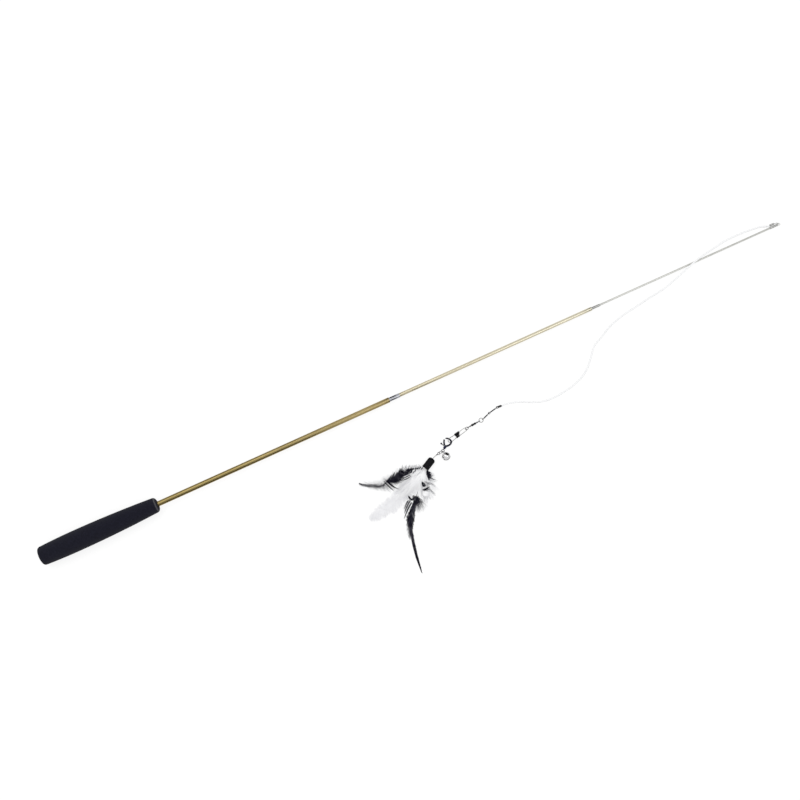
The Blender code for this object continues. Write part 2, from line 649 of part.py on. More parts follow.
def make_tip_crimp(looks, wand):
    """The crimp sleeve, and its wire loop that passes the cap's corner and goes round the tip eye's wire."""
    rear = tip_crimp_rear(wand)
    sleeve = turned_mesh([(0.0, 0.0), (0.0, TIP_CRIMP_RADIUS), (TIP_CRIMP_LENGTH, TIP_CRIMP_RADIUS),
                          (TIP_CRIMP_LENGTH, 0.0)], SMALL_SIDES)
    eye = wand @ Vector((TOTAL_LENGTH - EYE_RING_RADIUS - EYE_WIRE, 0.0, 0.0)) - rear
    cap_corner = wand @ Vector((TIP_CAP_END, TIP_CAP_RADIUS, 0.0)) - rear
    bend = Vector((cap_corner.x + 2 * LOOP_WIRE, cap_corner.y + FACE_GAP + 2 * LOOP_WIRE, eye.z / 2))
    inward = Vector((eye.x - bend.x, eye.y - bend.y, 0.0)).normalized()
    wire_centre = Vector((eye.x, eye.y, 0.0)) - inward * EYE_RING_RADIUS
    strand = LOOP_WIRE + LINK_GAP / 2
    side = Vector((0.0, 0.0, strand))
    front = Vector((TIP_CRIMP_LENGTH, 0.0, 0.0))
    root = front - Vector((2 * LOOP_WIRE, 0.0, 0.0))
    path = [root + side, front + side, bend + 2 * side]
    for i in range(LOOP_STEPS + 1):
        turn = LOOP_HALF_TURN * (1.0 - 2.0 * i / LOOP_STEPS)
        path.append(wire_centre + inward * (LOOP_TURN_RADIUS * math.cos(turn))
                    + Vector((0.0, 0.0, eye.z + LOOP_TURN_RADIUS * math.sin(turn))))
    path += [bend - 2 * side, front - side, root - side]
    crimp = joined(sleeve, (wire_mesh(path, LOOP_WIRE), at()))
    return make_object("tip_crimp", crimp, looks["rod"], Matrix.Translation(rear))


def cord_points(wand):
    exit_point = tip_crimp_rear(wand) - Vector((FACE_GAP, 0.0, 0.0))
    route = [exit_point]
    route += [Vector((exit_point.x + x, exit_point.y + y, z)) for x, y, z in CORD_ROUTE]
    return smooth_route(route, CORD_POINT_SPACING)


def make_cord(looks, wand):
    curve = wire_curve(cord_points(wand), CORD_RADIUS, resolution=2)
    return make_object("cord", curve, looks["cord"], Matrix.Identity(4))


def leader_places(wand):
    """The crimp at the cord's end, the two links and the ring, each hung in the one before it."""
    places = {}
    link_z = LINK_EYE_RADIUS + LINK_EYE_WIRE + FLOOR_GAP
    cord_end = cord_points(wand)[-1]
    start = ahead(cord_end, LURE_CRIMP_HEADING, FACE_GAP, max(LURE_CRIMP_RADIUS + FLOOR_GAP, link_z))
    places["crimp"] = start
    eye_distance = LURE_CRIMP_LENGTH + CRIMP_EYE_RADIUS - CRIMP_EYE_WIRE / 2
    crimp_eye = ahead(start, LURE_CRIMP_HEADING, eye_distance)
    pull = way(LINK_1_HEADING)
    places["leader_pivot"] = hung_wire(crimp_eye, pull, CRIMP_EYE_RADIUS, CRIMP_EYE_WIRE, LINK_EYE_WIRE)
    places["link_1"] = places["leader_pivot"] + pull * LINK_EYE_RADIUS
    link_1_end = places["link_1"] + pull * LINK_1_LENGTH
    pull = way(LINK_2_HEADING)
    places["link_pivot"] = hung_wire(link_1_end, pull, LINK_EYE_RADIUS, LINK_EYE_WIRE, LINK_EYE_WIRE)
    places["link_2"] = places["link_pivot"] + pull * LINK_EYE_RADIUS
    link_2_end = places["link_2"] + pull * LINK_2_LENGTH
    pull = way(SWIVEL_HEADING)
    ring_wire = hung_wire(link_2_end, pull, LINK_EYE_RADIUS, LINK_EYE_WIRE, RING_1_WIRE)
    swivel_z = SWIVEL_EYE_RADIUS + SWIVEL_EYE_WIRE + FLOOR_GAP
    ring_1 = ring_wire + pull * RING_1_RADIUS
    ring_1.z = (link_z + swivel_z) / 2
    places["ring_1"] = ring_1
    places["swivel_pivot"] = link_2_end + pull * LINK_EYE_RADIUS
    return places


def swivel_places(places):
    """The swivel, the small ring and the snap."""
    pull = way(SWIVEL_HEADING)
    wire = hung_wire(places["ring_1"], pull, RING_1_RADIUS, RING_1_WIRE, SWIVEL_EYE_WIRE)
    swivel_z = SWIVEL_EYE_RADIUS + SWIVEL_EYE_WIRE + FLOOR_GAP
    neck = SWIVEL_EYE_RADIUS + SWIVEL_NECK_LENGTH
    places["swivel"] = ahead(wire, SWIVEL_HEADING, SWIVEL_EYE_RADIUS, swivel_z)
    places["barrel"] = places["swivel"] + pull * neck
    places["swivel_end"] = places["barrel"] + pull * (BARREL_LENGTH + neck)
    pull = way(SNAP_HEADING)
    wire = hung_wire(places["swivel_end"], pull, SWIVEL_EYE_RADIUS, SWIVEL_EYE_WIRE, RING_2_WIRE)
    places["ring_2"] = wire + pull * RING_2_RADIUS
    wire = hung_wire(places["ring_2"], pull, RING_2_RADIUS, RING_2_WIRE, SNAP_WIRE)
    half_width, half_height = snap_plate_halves()
    low_plate = half_width * abs(math.sin(SNAP_ROLL)) + half_height * math.cos(SNAP_ROLL)
    low_wire = SNAP_FAR_HALF * abs(math.sin(SNAP_ROLL)) + SNAP_WIRE
    places["snap"] = ahead(wire, SNAP_HEADING, SNAP_NEAR_HALF, max(low_plate, low_wire) + FLOOR_GAP)


def lure_places(places):
    """The clasp about the snap's far end, then the bell's loop, the jump ring and the feather cap."""
    snap_end = places["snap"] + way(SNAP_HEADING) * (SNAP_STRAIGHT + SNAP_SPREAD + SNAP_NOSE)
    turn = Matrix.Rotation(CLASP_HEADING, 4, "Z")
    eye = snap_end - turn @ Vector((CLASP_NOSE_X, CLASP_NOSE_Y, 0.0))
    places["clasp"] = eye
    places["clasp_pivot"] = eye + turn @ Vector((HOOK_ROUTE[CLASP_RIM_POINT][0], CLASP_NOSE_Y, 0.0))
    wire = hung_wire(eye, way(BELL_HEADING), CLASP_EYE_RADIUS, CLASP_EYE_WIRE, BELL_LOOP_WIRE)
    places["bell_loop"] = ahead(wire, BELL_HEADING, BELL_LOOP_RADIUS, eye.z + BELL_LOOP_LIFT)
    wire = hung_wire(eye, way(RING_3_HEADING), CLASP_EYE_RADIUS, CLASP_EYE_WIRE, RING_3_WIRE)
    ring_z = RING_3_RADIUS * math.sin(RING_3_ROLL) + RING_3_WIRE + FLOOR_GAP
    places["ring_3_pitch"] = math.asin((ring_z - eye.z) / RING_3_RADIUS)
    pull = way(RING_3_HEADING, places["ring_3_pitch"])
    places["ring_3"] = wire + pull * RING_3_RADIUS
    wire = hung_wire(places["ring_3"], pull, RING_3_RADIUS, RING_3_WIRE, LURE_LOOP_WIRE)
    places["lure_loop"] = wire + way(LURE_LOOP_HEADING, places["ring_3_pitch"]) * LURE_LOOP_RADIUS
    places["cap"] = ahead(places["lure_loop"], LURE_STEM_HEADING, LURE_LOOP_RADIUS + LURE_STEM_LENGTH,
                          CAP_RADIUS + FLOOR_GAP)


def chain_places(wand):
    """Where each piece between the cord and the feathers lies, worked out from one to the next."""
    places = leader_places(wand)
    swivel_places(places)
    lure_places(places)
    return places


def make_lure_crimp(looks, places):
    sleeve = turned_mesh([(0.0, 0.0), (0.0, LURE_CRIMP_RADIUS), (LURE_CRIMP_LENGTH, LURE_CRIMP_RADIUS),
                          (LURE_CRIMP_LENGTH, 0.0)], SMALL_SIDES)
    eye_x = LURE_CRIMP_LENGTH + CRIMP_EYE_RADIUS - CRIMP_EYE_WIRE / 2
    crimp = joined(sleeve, (ring_mesh(CRIMP_EYE_RADIUS, CRIMP_EYE_WIRE), at(eye_x)))
    place = along(places["crimp"], LURE_CRIMP_HEADING)
    return make_object("lure_crimp", crimp, looks["dark_metal"], place)


def link_mesh(length, last_upright):
    """A leader link: an upright eye, a shank, and an eye that is upright or flat."""
    start = LINK_EYE_RADIUS - JOIN_DEPTH * LINK_EYE_WIRE
    shank = turned_mesh([(start, 0.0), (start, LINK_SHANK_RADIUS), (length - start, LINK_SHANK_RADIUS),
                         (length - start, 0.0)], SMALL_SIDES)
    first = (ring_mesh(LINK_EYE_RADIUS, LINK_EYE_WIRE), upright())
    turn = upright() if last_upright else Matrix.Identity(4)
    last = (ring_mesh(LINK_EYE_RADIUS, LINK_EYE_WIRE), at(length) @ turn)
    return joined(shank, first, last)


def make_links(looks, places):
    link_1 = make_object("leader_link_1", link_mesh(LINK_1_LENGTH, False), looks["steel"],
                         along(places["link_1"], LINK_1_HEADING))
    link_2 = make_object("leader_link_2", link_mesh(LINK_2_LENGTH, True), looks["steel"],
                         along(places["link_2"], LINK_2_HEADING))
    ring_1 = make_object("ring_1", ring_mesh(RING_1_RADIUS, RING_1_WIRE), looks["steel"],
                         along(places["ring_1"], SWIVEL_HEADING))
    return link_1, link_2, ring_1


def swivel_eye_mesh():
    """An eye of the swivel: its ring at the origin, its neck and the head that the barrel holds."""
    neck_start = SWIVEL_EYE_RADIUS - JOIN_DEPTH * SWIVEL_EYE_WIRE
    neck_radius = STEM_SHARE * SWIVEL_EYE_WIRE
    head_start = SWIVEL_EYE_RADIUS + SWIVEL_NECK_LENGTH + BARREL_END_WALL + SEAT_GAP
    head_end = head_start + SWIVEL_HEAD_LENGTH
    neck = turned_mesh([(neck_start, 0.0), (neck_start, neck_radius), (head_start, neck_radius),
                        (head_start, SWIVEL_HEAD_RADIUS), (head_end, SWIVEL_HEAD_RADIUS), (head_end, 0.0)],
                       SMALL_SIDES)
    return joined(neck, (ring_mesh(SWIVEL_EYE_RADIUS, SWIVEL_EYE_WIRE), upright()))


def make_swivel(looks, places):
    first = make_object("swivel_eye_a", swivel_eye_mesh(), looks["steel"],
                        along(places["swivel"], SWIVEL_HEADING))
    last = make_object("swivel_eye_b", swivel_eye_mesh(), looks["steel"],
                       along(places["swivel_end"], SWIVEL_HEADING + math.pi))
    mouth = SWIVEL_EYE_WIRE + SEAT_GAP
    rim = BARREL_RADIUS + BARREL_RIM
    length = BARREL_LENGTH
    wall = BARREL_END_WALL
    outline = [(0.0, mouth), (0.0, BARREL_RADIUS), (wall, rim), (2 * wall, BARREL_RADIUS),
               (length - 3 * wall, BARREL_RADIUS), (length - 2 * wall, rim), (length - wall, rim),
               (length, BARREL_RADIUS), (length, mouth), (length - wall, mouth),
               (length - wall, BARREL_CHAMBER_RADIUS), (wall, BARREL_CHAMBER_RADIUS), (wall, mouth)]
    barrel = make_object("swivel_barrel", turned_mesh(outline, SMALL_SIDES), looks["dark_metal"],
                         along(places["barrel"], SWIVEL_HEADING))
    ring_2 = make_object("ring_2", ring_mesh(RING_2_RADIUS, RING_2_WIRE), looks["steel"],
                         along(places["ring_2"], SNAP_HEADING, roll=RING_2_ROLL))
    return first, barrel, last, ring_2


def snap_plate_halves():
    """Half the width and half the height of the snap's lock plate."""
    bore = SNAP_WIRE + SEAT_GAP
    return SNAP_NEAR_HALF + bore + SNAP_PLATE_WALL, bore + SNAP_PLATE_WALL


def snap_route():
    """The snap's wire frame: a round near end, straight legs, and a wider pointed far end."""
    right = []
    for i in range(SNAP_BEND_STEPS + 1):
        turn = math.pi - math.pi / 2 * i / SNAP_BEND_STEPS
        right.append((SNAP_NEAR_HALF * math.cos(turn), SNAP_NEAR_HALF * math.sin(turn)))
    for i in range(1, SNAP_LEG_STEPS + 1):
        right.append((SNAP_STRAIGHT * i / SNAP_LEG_STEPS, SNAP_NEAR_HALF))
    spread_end = SNAP_STRAIGHT + SNAP_SPREAD
    for i in range(1, SNAP_LEG_STEPS):
        share = (1.0 - math.cos(math.pi * i / SNAP_LEG_STEPS)) / 2
        right.append((SNAP_STRAIGHT + SNAP_SPREAD * i / SNAP_LEG_STEPS,
                      SNAP_NEAR_HALF + (SNAP_FAR_HALF - SNAP_NEAR_HALF) * share))
    for i in range(SNAP_NOSE_STEPS + 1):
        turn = math.pi / 2 - math.pi / 2 * i / SNAP_NOSE_STEPS
        right.append((spread_end + SNAP_NOSE * math.cos(turn), SNAP_FAR_HALF * math.sin(turn)))
    left = [(x, -y) for x, y in reversed(right[1:-1])]
    return [(x, y, 0.0) for x, y in right + left]


def make_snap(looks, places):
    place = along(places["snap"], SNAP_HEADING, roll=SNAP_ROLL)
    wire = make_object("snap_wire", wire_mesh(snap_route(), SNAP_WIRE, cyclic=True), looks["steel"], place)
    bore = SNAP_WIRE + SEAT_GAP
    half_width, half_height = snap_plate_halves()
    plate_end = SNAP_PLATE_START + SNAP_PLATE_LENGTH
    outline = rounded_block(SNAP_PLATE_START, plate_end, -half_width, half_width, SNAP_PLATE_WALL)
    drill = turned_mesh([(SNAP_PLATE_START - bore, 0.0), (SNAP_PLATE_START - bore, bore),
                         (plate_end + bore, bore), (plate_end + bore, 0.0)], SMALL_SIDES)
    plate = cut(prism_mesh(outline, -half_height, half_height),
                (drill, at(y=SNAP_NEAR_HALF)), (drill, at(y=-SNAP_NEAR_HALF)))
    plate = make_object("snap_plate", plate, looks["dark_metal"], place)
    return wire, plate


def upright_pin(radius, low, high):
    """A round pin that stands along z."""
    pin = turned_mesh([(low, 0.0), (low, radius), (high, radius), (high, 0.0)], SMALL_SIDES)
    pin.transform(Matrix.Rotation(math.radians(-90.0), 4, "Y"))
    return pin


def make_clasp_body(looks, place):
    half = CLASP_BLOCK_THICKNESS / 2
    block_end = CLASP_BLOCK_REAR + CLASP_BLOCK_LENGTH
    side = CLASP_BLOCK_WIDTH / 2
    block = prism_mesh(rounded_block(CLASP_BLOCK_REAR, block_end, -side, side, 2 * CLASP_BLOCK_SIDE),
                       -half, half)
    hook = [(x, y, 0.0) for x, y in HOOK_ROUTE]
    hook = wire_mesh(smooth_route(hook, 2 * CLASP_WIRE), CLASP_WIRE, resolution=2)
    neck_start = CLASP_EYE_RADIUS - JOIN_DEPTH * CLASP_EYE_WIRE
    neck = turned_mesh([(neck_start, 0.0), (neck_start, STEM_SHARE * CLASP_EYE_WIRE),
                        (CLASP_BLOCK_REAR + CLASP_BLOCK_SIDE, CLASP_WIRE),
                        (CLASP_BLOCK_REAR + CLASP_BLOCK_SIDE, 0.0)], SMALL_SIDES)
    eye = ring_mesh(CLASP_EYE_RADIUS, CLASP_EYE_WIRE)
    body = joined(block, (hook, at()), (neck, at()), (eye, at()))
    x, y = CLASP_PIVOT
    slot_half = CLASP_SLOT_HEIGHT / 2
    slot_rear = x - LEVER_ROOT_RADIUS - SEAT_GAP - SPRING_STRIP - SEAT_GAP
    slot_floor = y - LEVER_ROOT_RADIUS - SEAT_GAP
    past_end = block_end + half
    past_side = side + half
    slot = prism_mesh([(slot_rear, slot_floor), (past_end, slot_floor), (past_end, past_side),
                       (slot_rear, past_side)], -slot_half, slot_half)
    bore = upright_pin(CLASP_PIN_RADIUS + SEAT_GAP / 2, -2 * half, 2 * half)
    body = cut(body, (slot, at()), (bore, at(x, y)))
    return make_object("clasp_body", body, looks["dark_metal"], place)


def make_lever(looks, place):
    """The lever about its pin: a flat root, the gate that closes the hook, and the thumb knob."""
    half = LEVER_THICKNESS / 2
    bore = CLASP_PIN_RADIUS + SEAT_GAP / 2
    root = upright_pin(LEVER_ROOT_RADIUS, -half, half)
    gate = [(0.0, 0.0, 0.0)] + [(x, y, 0.0) for x, y in GATE_ROUTE]
    gate = wire_mesh(smooth_route(gate, 2 * LEVER_ARM_RADIUS), LEVER_ARM_RADIUS)
    knob_x, knob_y = LEVER_KNOB_OFFSET
    arm = [(0.0, 0.0, 0.0), (knob_x - LEVER_ARM_RADIUS, knob_y / 2, 0.0), (knob_x, knob_y, 0.0)]
    arm = wire_mesh(smooth_route(arm, 2 * LEVER_ARM_RADIUS), LEVER_STALK_RADIUS)
    knob = ball_mesh(LEVER_KNOB_RADIUS)
    lever = joined(root, (gate, at()), (arm, at()), (knob, at(knob_x, knob_y)))
    lever = cut(lever, (upright_pin(bore, -2 * half, 2 * half), at()))
    x, y = CLASP_PIVOT
    return make_object("clasp_lever", lever, looks["dark_metal"], place @ at(x, y))


def make_clasp_trim(looks, place):
    """The lever's pin, and the leaf spring in the slot behind the lever's root."""
    x, y = CLASP_PIVOT
    half = CLASP_BLOCK_THICKNESS / 2
    pin = make_object("clasp_pin", upright_pin(CLASP_PIN_RADIUS, -half, half), looks["steel"],
                      place @ at(x, y))
    leaf_start = x - LEVER_ROOT_RADIUS - SEAT_GAP - SPRING_STRIP
    leaf_end = leaf_start + SPRING_STRIP
    leaf_half = LEVER_THICKNESS / 2
    reach = LEVER_ROOT_RADIUS / 2
    leaf = prism_mesh([(leaf_start, y - reach), (leaf_end, y - reach), (leaf_end, y + reach),
                       (leaf_start, y + reach)], -leaf_half, leaf_half)
    leaf = make_object("clasp_spring", leaf, looks["steel"], place)
    return pin, leaf


def bell_shell_outline(band):
    """A half shell of the bell, from its rim to its pole on the x axis, with a band round its rim."""
    start = FACE_GAP / 2
    inner = BELL_RADIUS - BELL_WALL
    first = math.asin((start + (BELL_BAND_HEIGHT if band else 0.0)) / BELL_RADIUS)
    outer = [(BELL_RADIUS * math.sin(a), BELL_RADIUS * math.cos(a))
             for a in [first + (math.pi / 2 - first) * i / SHELL_STEPS for i in range(SHELL_STEPS)]]
    first = math.asin(start / inner)
    hollow = [(inner * math.sin(a), inner * math.cos(a))
              for a in [math.pi / 2 - (math.pi / 2 - first) * i / SHELL_STEPS
                        for i in range(1, SHELL_STEPS + 1)]]
    rim = []
    if band:
        rim = [(start, BELL_RADIUS + BELL_BAND), (start + BELL_BAND_HEIGHT, BELL_RADIUS + BELL_BAND)]
    return rim + outer + [(BELL_RADIUS, 0.0), (inner, 0.0)] + hollow


def shell_mesh(band):
    """A turned half shell; its outline meets the axis twice, so the two ends close on themselves."""
    outline = bell_shell_outline(band)

    def build(work):
        corners = [work.verts.new((x, 0.0, radius)) for x, radius in outline]
        pole = next(i for i, (x, radius) in enumerate(outline) if radius == 0.0)
        pairs = list(zip(corners, corners[1:])) + [(corners[-1], corners[0])]
        pairs.remove((corners[pole], corners[pole + 1]))
        edges = [work.edges.new(pair) for pair in pairs]
        bmesh.ops.spin(work, geom=corners + edges, cent=(0, 0, 0), axis=(1, 0, 0),
                       angle=2 * math.pi, steps=TUBE_SIDES, use_merge=True)
    return mesh_from(build)


def bell_slot_tools():
    """The slot across the bell's lower pole, and the round hole at each of its ends."""
    inner = BELL_RADIUS - BELL_WALL
    half = BELL_SLOT_WIDTH / 2
    spread = BELL_RADIUS * math.sin(BELL_SLOT_HALF_ANGLE)
    low = inner * math.cos(BELL_SLOT_HALF_ANGLE) - BELL_WALL
    slot = prism_mesh([(low, -spread), (2 * BELL_RADIUS, -spread), (2 * BELL_RADIUS, spread), (low, spread)],
                      -half, half)
    drill = turned_mesh([(BELL_RADIUS / 2, 0.0), (BELL_RADIUS / 2, BELL_SLOT_HOLE_RADIUS),
                         (2 * BELL_RADIUS, BELL_SLOT_HOLE_RADIUS), (2 * BELL_RADIUS, 0.0)], SMALL_SIDES)
    tools = [(slot, at())]
    for side in (1, -1):
        tools.append((drill, Matrix.Rotation(side * BELL_SLOT_HALF_ANGLE, 4, "Z")))
    return tools


def make_bell(looks, places):
    loop = places["bell_loop"]
    centre_z = BELL_RADIUS + BELL_BAND + FLOOR_GAP
    reach = BELL_RADIUS + BELL_LOOP_RADIUS - BELL_LOOP_WIRE / 2
    pitch = math.asin((centre_z - loop.z) / reach)
    centre = ahead(loop, BELL_HEADING, reach * math.cos(pitch), centre_z)
    place = along(centre, BELL_HEADING, pitch=pitch)
    upper = joined(shell_mesh(True), (ring_mesh(BELL_LOOP_RADIUS, BELL_LOOP_WIRE), at(reach) @ upright()))
    turn = Matrix.Rotation(math.pi, 4, "Z")
    upper = make_object("bell_upper", upper, looks["bell_metal"], place @ turn)
    lower = make_object("bell_lower", cut(shell_mesh(False), *bell_slot_tools()), looks["bell_metal"], place)
    ball = ball_mesh(BELL_BALL_RADIUS)
    drop = BELL_RADIUS - BELL_WALL - BELL_BALL_RADIUS - FACE_GAP
    ball = make_object("bell_ball", ball, looks["steel"], at(centre.x, centre.y, centre.z - drop))
    return upper, lower, ball


def cap_outline():
    """The cap in section: a hole in its crown for the wire, a round crown, and the feathers' bore."""
    hole = LURE_LOOP_WIRE + CAP_HOLE_PLAY
    flat = hole + CAP_CROWN / 3
    crown = []
    for i in range(CROWN_STEPS + 1):
        turn = math.pi / 2 * i / CROWN_STEPS
        crown.append((CAP_CROWN * (1.0 - math.cos(turn)), flat + (CAP_RADIUS - flat) * math.sin(turn)))
    bore_end = CAP_LENGTH - CAP_BORE_DEPTH
    return [(0.0, hole)] + crown + [(CAP_LENGTH, CAP_RADIUS), (CAP_LENGTH, CAP_BORE), (bore_end, CAP_BORE),
                                    (bore_end, hole)]


def make_lure_mount(looks, places):
    ring_3 = make_object("ring_3", ring_mesh(RING_3_RADIUS, RING_3_WIRE), looks["steel"],
                         along(places["ring_3"], RING_3_HEADING, places["ring_3_pitch"], RING_3_ROLL))
    loop = along(places["lure_loop"], LURE_LOOP_HEADING, places["ring_3_pitch"], LURE_LOOP_ROLL)
    top = loop.inverted() @ places["cap"]
    bore_end = CAP_LENGTH - CAP_BORE_DEPTH
    bead_centre = loop.inverted() @ ahead(places["cap"], CAP_HEADING, bore_end + LURE_BEAD_RADIUS + FACE_GAP)
    stem = [(LURE_LOOP_RADIUS, 0.0, 0.0), (LURE_LOOP_RADIUS + 2 * LURE_LOOP_WIRE, 0.0, 0.0),
            top + (top - bead_centre) / 4, bead_centre]
    stem = wire_mesh(smooth_route(stem, 4 * LURE_LOOP_WIRE), LURE_LOOP_WIRE, resolution=2)
    ring = ring_mesh(LURE_LOOP_RADIUS, LURE_LOOP_WIRE)
    wire = joined(stem, (ring, at()), (ball_mesh(LURE_BEAD_RADIUS), Matrix.Translation(bead_centre)))
    wire = make_object("lure_wire", wire, looks["dark_metal"], loop)
    cap = make_object("lure_cap", turned_mesh(cap_outline(), TUBE_SIDES), looks["gloss_black"],
                      along(places["cap"], CAP_HEADING))
    return ring_3, wire, cap


def blade_mesh(stations):
    """A closed blade through stations of x, its two edges in y, its height and its half thickness."""
    def build(work):
        rows = []
        for x, right, left, height, half in stations:
            quarter = (left - right) / 4
            section = [(right, 0), (right + quarter, half), (left - quarter, half), (left, 0),
                       (left - quarter, -half), (right + quarter, -half)]
            rows.append([work.verts.new((x, y, height + z)) for y, z in section])
        for lower, upper in zip(rows, rows[1:]):
            for k in range(6):
                work.faces.new((lower[k], lower[(k + 1) % 6], upper[(k + 1) % 6], upper[k]))
        work.faces.new(rows[0])
        work.faces.new(rows[-1])
    return mesh_from(build)


def even_half(x):
    return BLADE_THICKNESS / 2


def tuft_half(x):
    """Half the tuft's thickness, which grows away from the cap."""
    return TUFT_HALF_THICKNESS * min(1.0, TUFT_ROOT_SHARE + x / TUFT_SWELL_LENGTH)


def blade_stations(plan, quill_y, height, half_thickness):
    """Finer stations of a blade: its quill in the cap, then its plan at the heights and halves given."""
    quill = (quill_y - QUILL_RADIUS, quill_y + QUILL_RADIUS)
    route = [(-QUILL_DEPTH, *quill), (0.0, *quill)] + plan
    stations = []
    for a, b in zip(route, route[1:] + [None]):
        steps = 1 if b is None else max(1, round((b[0] - a[0]) / BLADE_STEP))
        for i in range(steps):
            t = i / steps
            x, right, left = a if b is None else [p + (q - p) * t for p, q in zip(a, b)]
            half = QUILL_RADIUS if x <= 0.0 else min(half_thickness(x), (left - right) / 2)
            stations.append((x, right, left, height(max(x, 0.0)), half))
    return stations


def level_blade(quill_z, level):
    """The height of a blade that gets from its quill's level to its own and stays there."""
    def height(x):
        return quill_z + (level - quill_z) * min(1.0, x / BLADE_RISE_LENGTH)
    return height


def falling_blade(quill_z, upper, lower, start, length):
    """The height of a blade that lies on another one and comes down behind it."""
    def height(x):
        fall = min(1.0, max(0.0, (x - start) / length))
        return quill_z + (upper - quill_z) * min(1.0, x / BLADE_RISE_LENGTH) + (lower - upper) * fall
    return height


def make_feathers(looks, places):
    mouth = ahead(places["cap"], CAP_HEADING, CAP_LENGTH, 0.0)
    place = along(mouth, CAP_HEADING)
    centre_z = CAP_RADIUS + FLOOR_GAP
    offset = CAP_BORE - FACE_GAP - QUILL_RADIUS
    half = BLADE_THICKNESS / 2
    floor_level = FLOOR_GAP + half
    lifted = floor_level + BLADE_LIFT
    down_level = lifted + half + FACE_GAP + TUFT_HALF_THICKNESS
    plume = level_blade(centre_z - offset, floor_level)
    hackle = falling_blade(centre_z, lifted, floor_level, HACKLE_DESCENT_START, HACKLE_DESCENT_LENGTH)
    long_one = falling_blade(centre_z, lifted, floor_level, LONG_DESCENT_START, LONG_DESCENT_LENGTH)
    down = level_blade(centre_z + offset, down_level)
    blades = [
        ("feather_hackle", HACKLE, -offset, hackle, even_half, "feather_dark"),
        ("feather_plume", PLUME, 0.0, plume, even_half, "feather_white"),
        ("feather_long", LONG_FEATHER, offset, long_one, even_half, "feather_dark"),
        ("down_tuft", TUFT, 0.0, down, tuft_half, "feather_white"),
    ]
    made = []
    for name, plan, quill_y, height, thickness, look in blades:
        stations = blade_stations(plan, quill_y, height, thickness)
        made.append(make_object(name, blade_mesh(stations), looks[look], place))
    return made


def main():
    for item in list(bpy.data.objects):
        bpy.data.objects.remove(item)
    looks = make_materials()
    wand = wand_place()
    make_grip(looks, wand)
    make_tube_1(looks, wand)
    make_tube_2(looks, wand)
    make_rod(looks, wand)
    make_tip(looks, wand)
    make_tip_crimp(looks, wand)
    make_cord(looks, wand)
    places = chain_places(wand)
    make_lure_crimp(looks, places)
    link_1, link_2, ring_1 = make_links(looks, places)
    swivel_a, barrel, swivel_b, ring_2 = make_swivel(looks, places)
    snap = make_snap(looks, places)
    clasp_place = along(places["clasp"], CLASP_HEADING)
    body = make_clasp_body(looks, clasp_place)
    make_lever(looks, clasp_place)
    trim = make_clasp_trim(looks, clasp_place)
    bell = make_bell(looks, places)
    mount = make_lure_mount(looks, places)
    feathers = make_feathers(looks, places)
    pivot("leader_pivot", places["leader_pivot"], [link_1])
    pivot("link_pivot", places["link_pivot"], [link_2])
    pivot("swivel_pivot", places["swivel_pivot"], [ring_1, swivel_a, barrel])
    pivot("twist_pivot", places["swivel_end"], [swivel_b, ring_2])
    pivot("snap_pivot", places["snap"], snap)
    pivot("clasp_pivot", places["clasp_pivot"], [body, *trim])
    pivot("bell_pivot", places["clasp"], bell[:2])
    pivot("lure_pivot", places["clasp"], [*mount, *feathers])


main()
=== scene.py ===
from math import asin, atan2, copysign, cos, degrees, exp, pi, radians, sin, sqrt

import bmesh
import bpy
import numpy as np
from mathutils import Matrix, Vector


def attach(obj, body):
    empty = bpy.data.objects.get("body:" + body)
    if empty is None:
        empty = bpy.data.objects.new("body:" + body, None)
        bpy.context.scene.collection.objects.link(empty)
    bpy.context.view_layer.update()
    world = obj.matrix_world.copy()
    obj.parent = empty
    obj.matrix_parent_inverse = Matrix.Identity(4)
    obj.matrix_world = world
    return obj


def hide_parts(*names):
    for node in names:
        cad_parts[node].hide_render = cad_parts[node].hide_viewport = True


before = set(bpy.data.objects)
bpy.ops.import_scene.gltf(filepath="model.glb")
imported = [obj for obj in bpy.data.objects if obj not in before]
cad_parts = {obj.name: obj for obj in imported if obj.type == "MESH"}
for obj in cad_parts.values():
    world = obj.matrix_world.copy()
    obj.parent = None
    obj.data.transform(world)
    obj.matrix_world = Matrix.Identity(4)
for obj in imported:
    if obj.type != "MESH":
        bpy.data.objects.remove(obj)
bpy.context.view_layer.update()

# Places in metres, as in the part's source.
WAND = Matrix.Translation((-0.4875, 0.0, 0.0131932)) @ Matrix.Rotation(0.01198763, 4, "Y")
CORD_EXIT = (0.473931, 0.00315, 0.0014)
CORD_RADIUS = 0.001
CORD_ROUTE = [
    (-0.0035, 0.0005, 0.0015), (-0.0111, 0.0034, 0.0020), (-0.0338, 0.0054, 0.0030),
    (-0.0574, 0.0051, 0.0045), (-0.0762, 0.0023, 0.0062), (-0.0950, -0.0009, 0.0078),
    (-0.1131, -0.0057, 0.0078), (-0.1281, -0.0106, 0.0068), (-0.1407, -0.0142, 0.0055),
    (-0.1540, -0.0175, 0.0040), (-0.1742, -0.0201, 0.0022), (-0.1935, -0.0231, 0.0011),
    (-0.2132, -0.0262, 0.0011), (-0.2328, -0.0318, 0.0011), (-0.2455, -0.0382, 0.0011),
    (-0.2548, -0.0424, 0.0011), (-0.2617, -0.0465, 0.0011), (-0.2708, -0.0568, 0.0011),
    (-0.2795, -0.0660, 0.0011), (-0.2901, -0.0731, 0.0011), (-0.3047, -0.0785, 0.0011),
    (-0.3233, -0.0815, 0.0011), (-0.3380, -0.0820, 0.0011), (-0.3501, -0.0798, 0.0011),
    (-0.3630, -0.0743, 0.0011), (-0.3718, -0.0699, 0.0011), (-0.3814, -0.0667, 0.0011),
    (-0.3875, -0.0655, 0.0011), (-0.3938, -0.0649, 0.0012),
]


def shift(x, y=0.0, z=0.0):
    return Matrix.Translation((x, y, z))


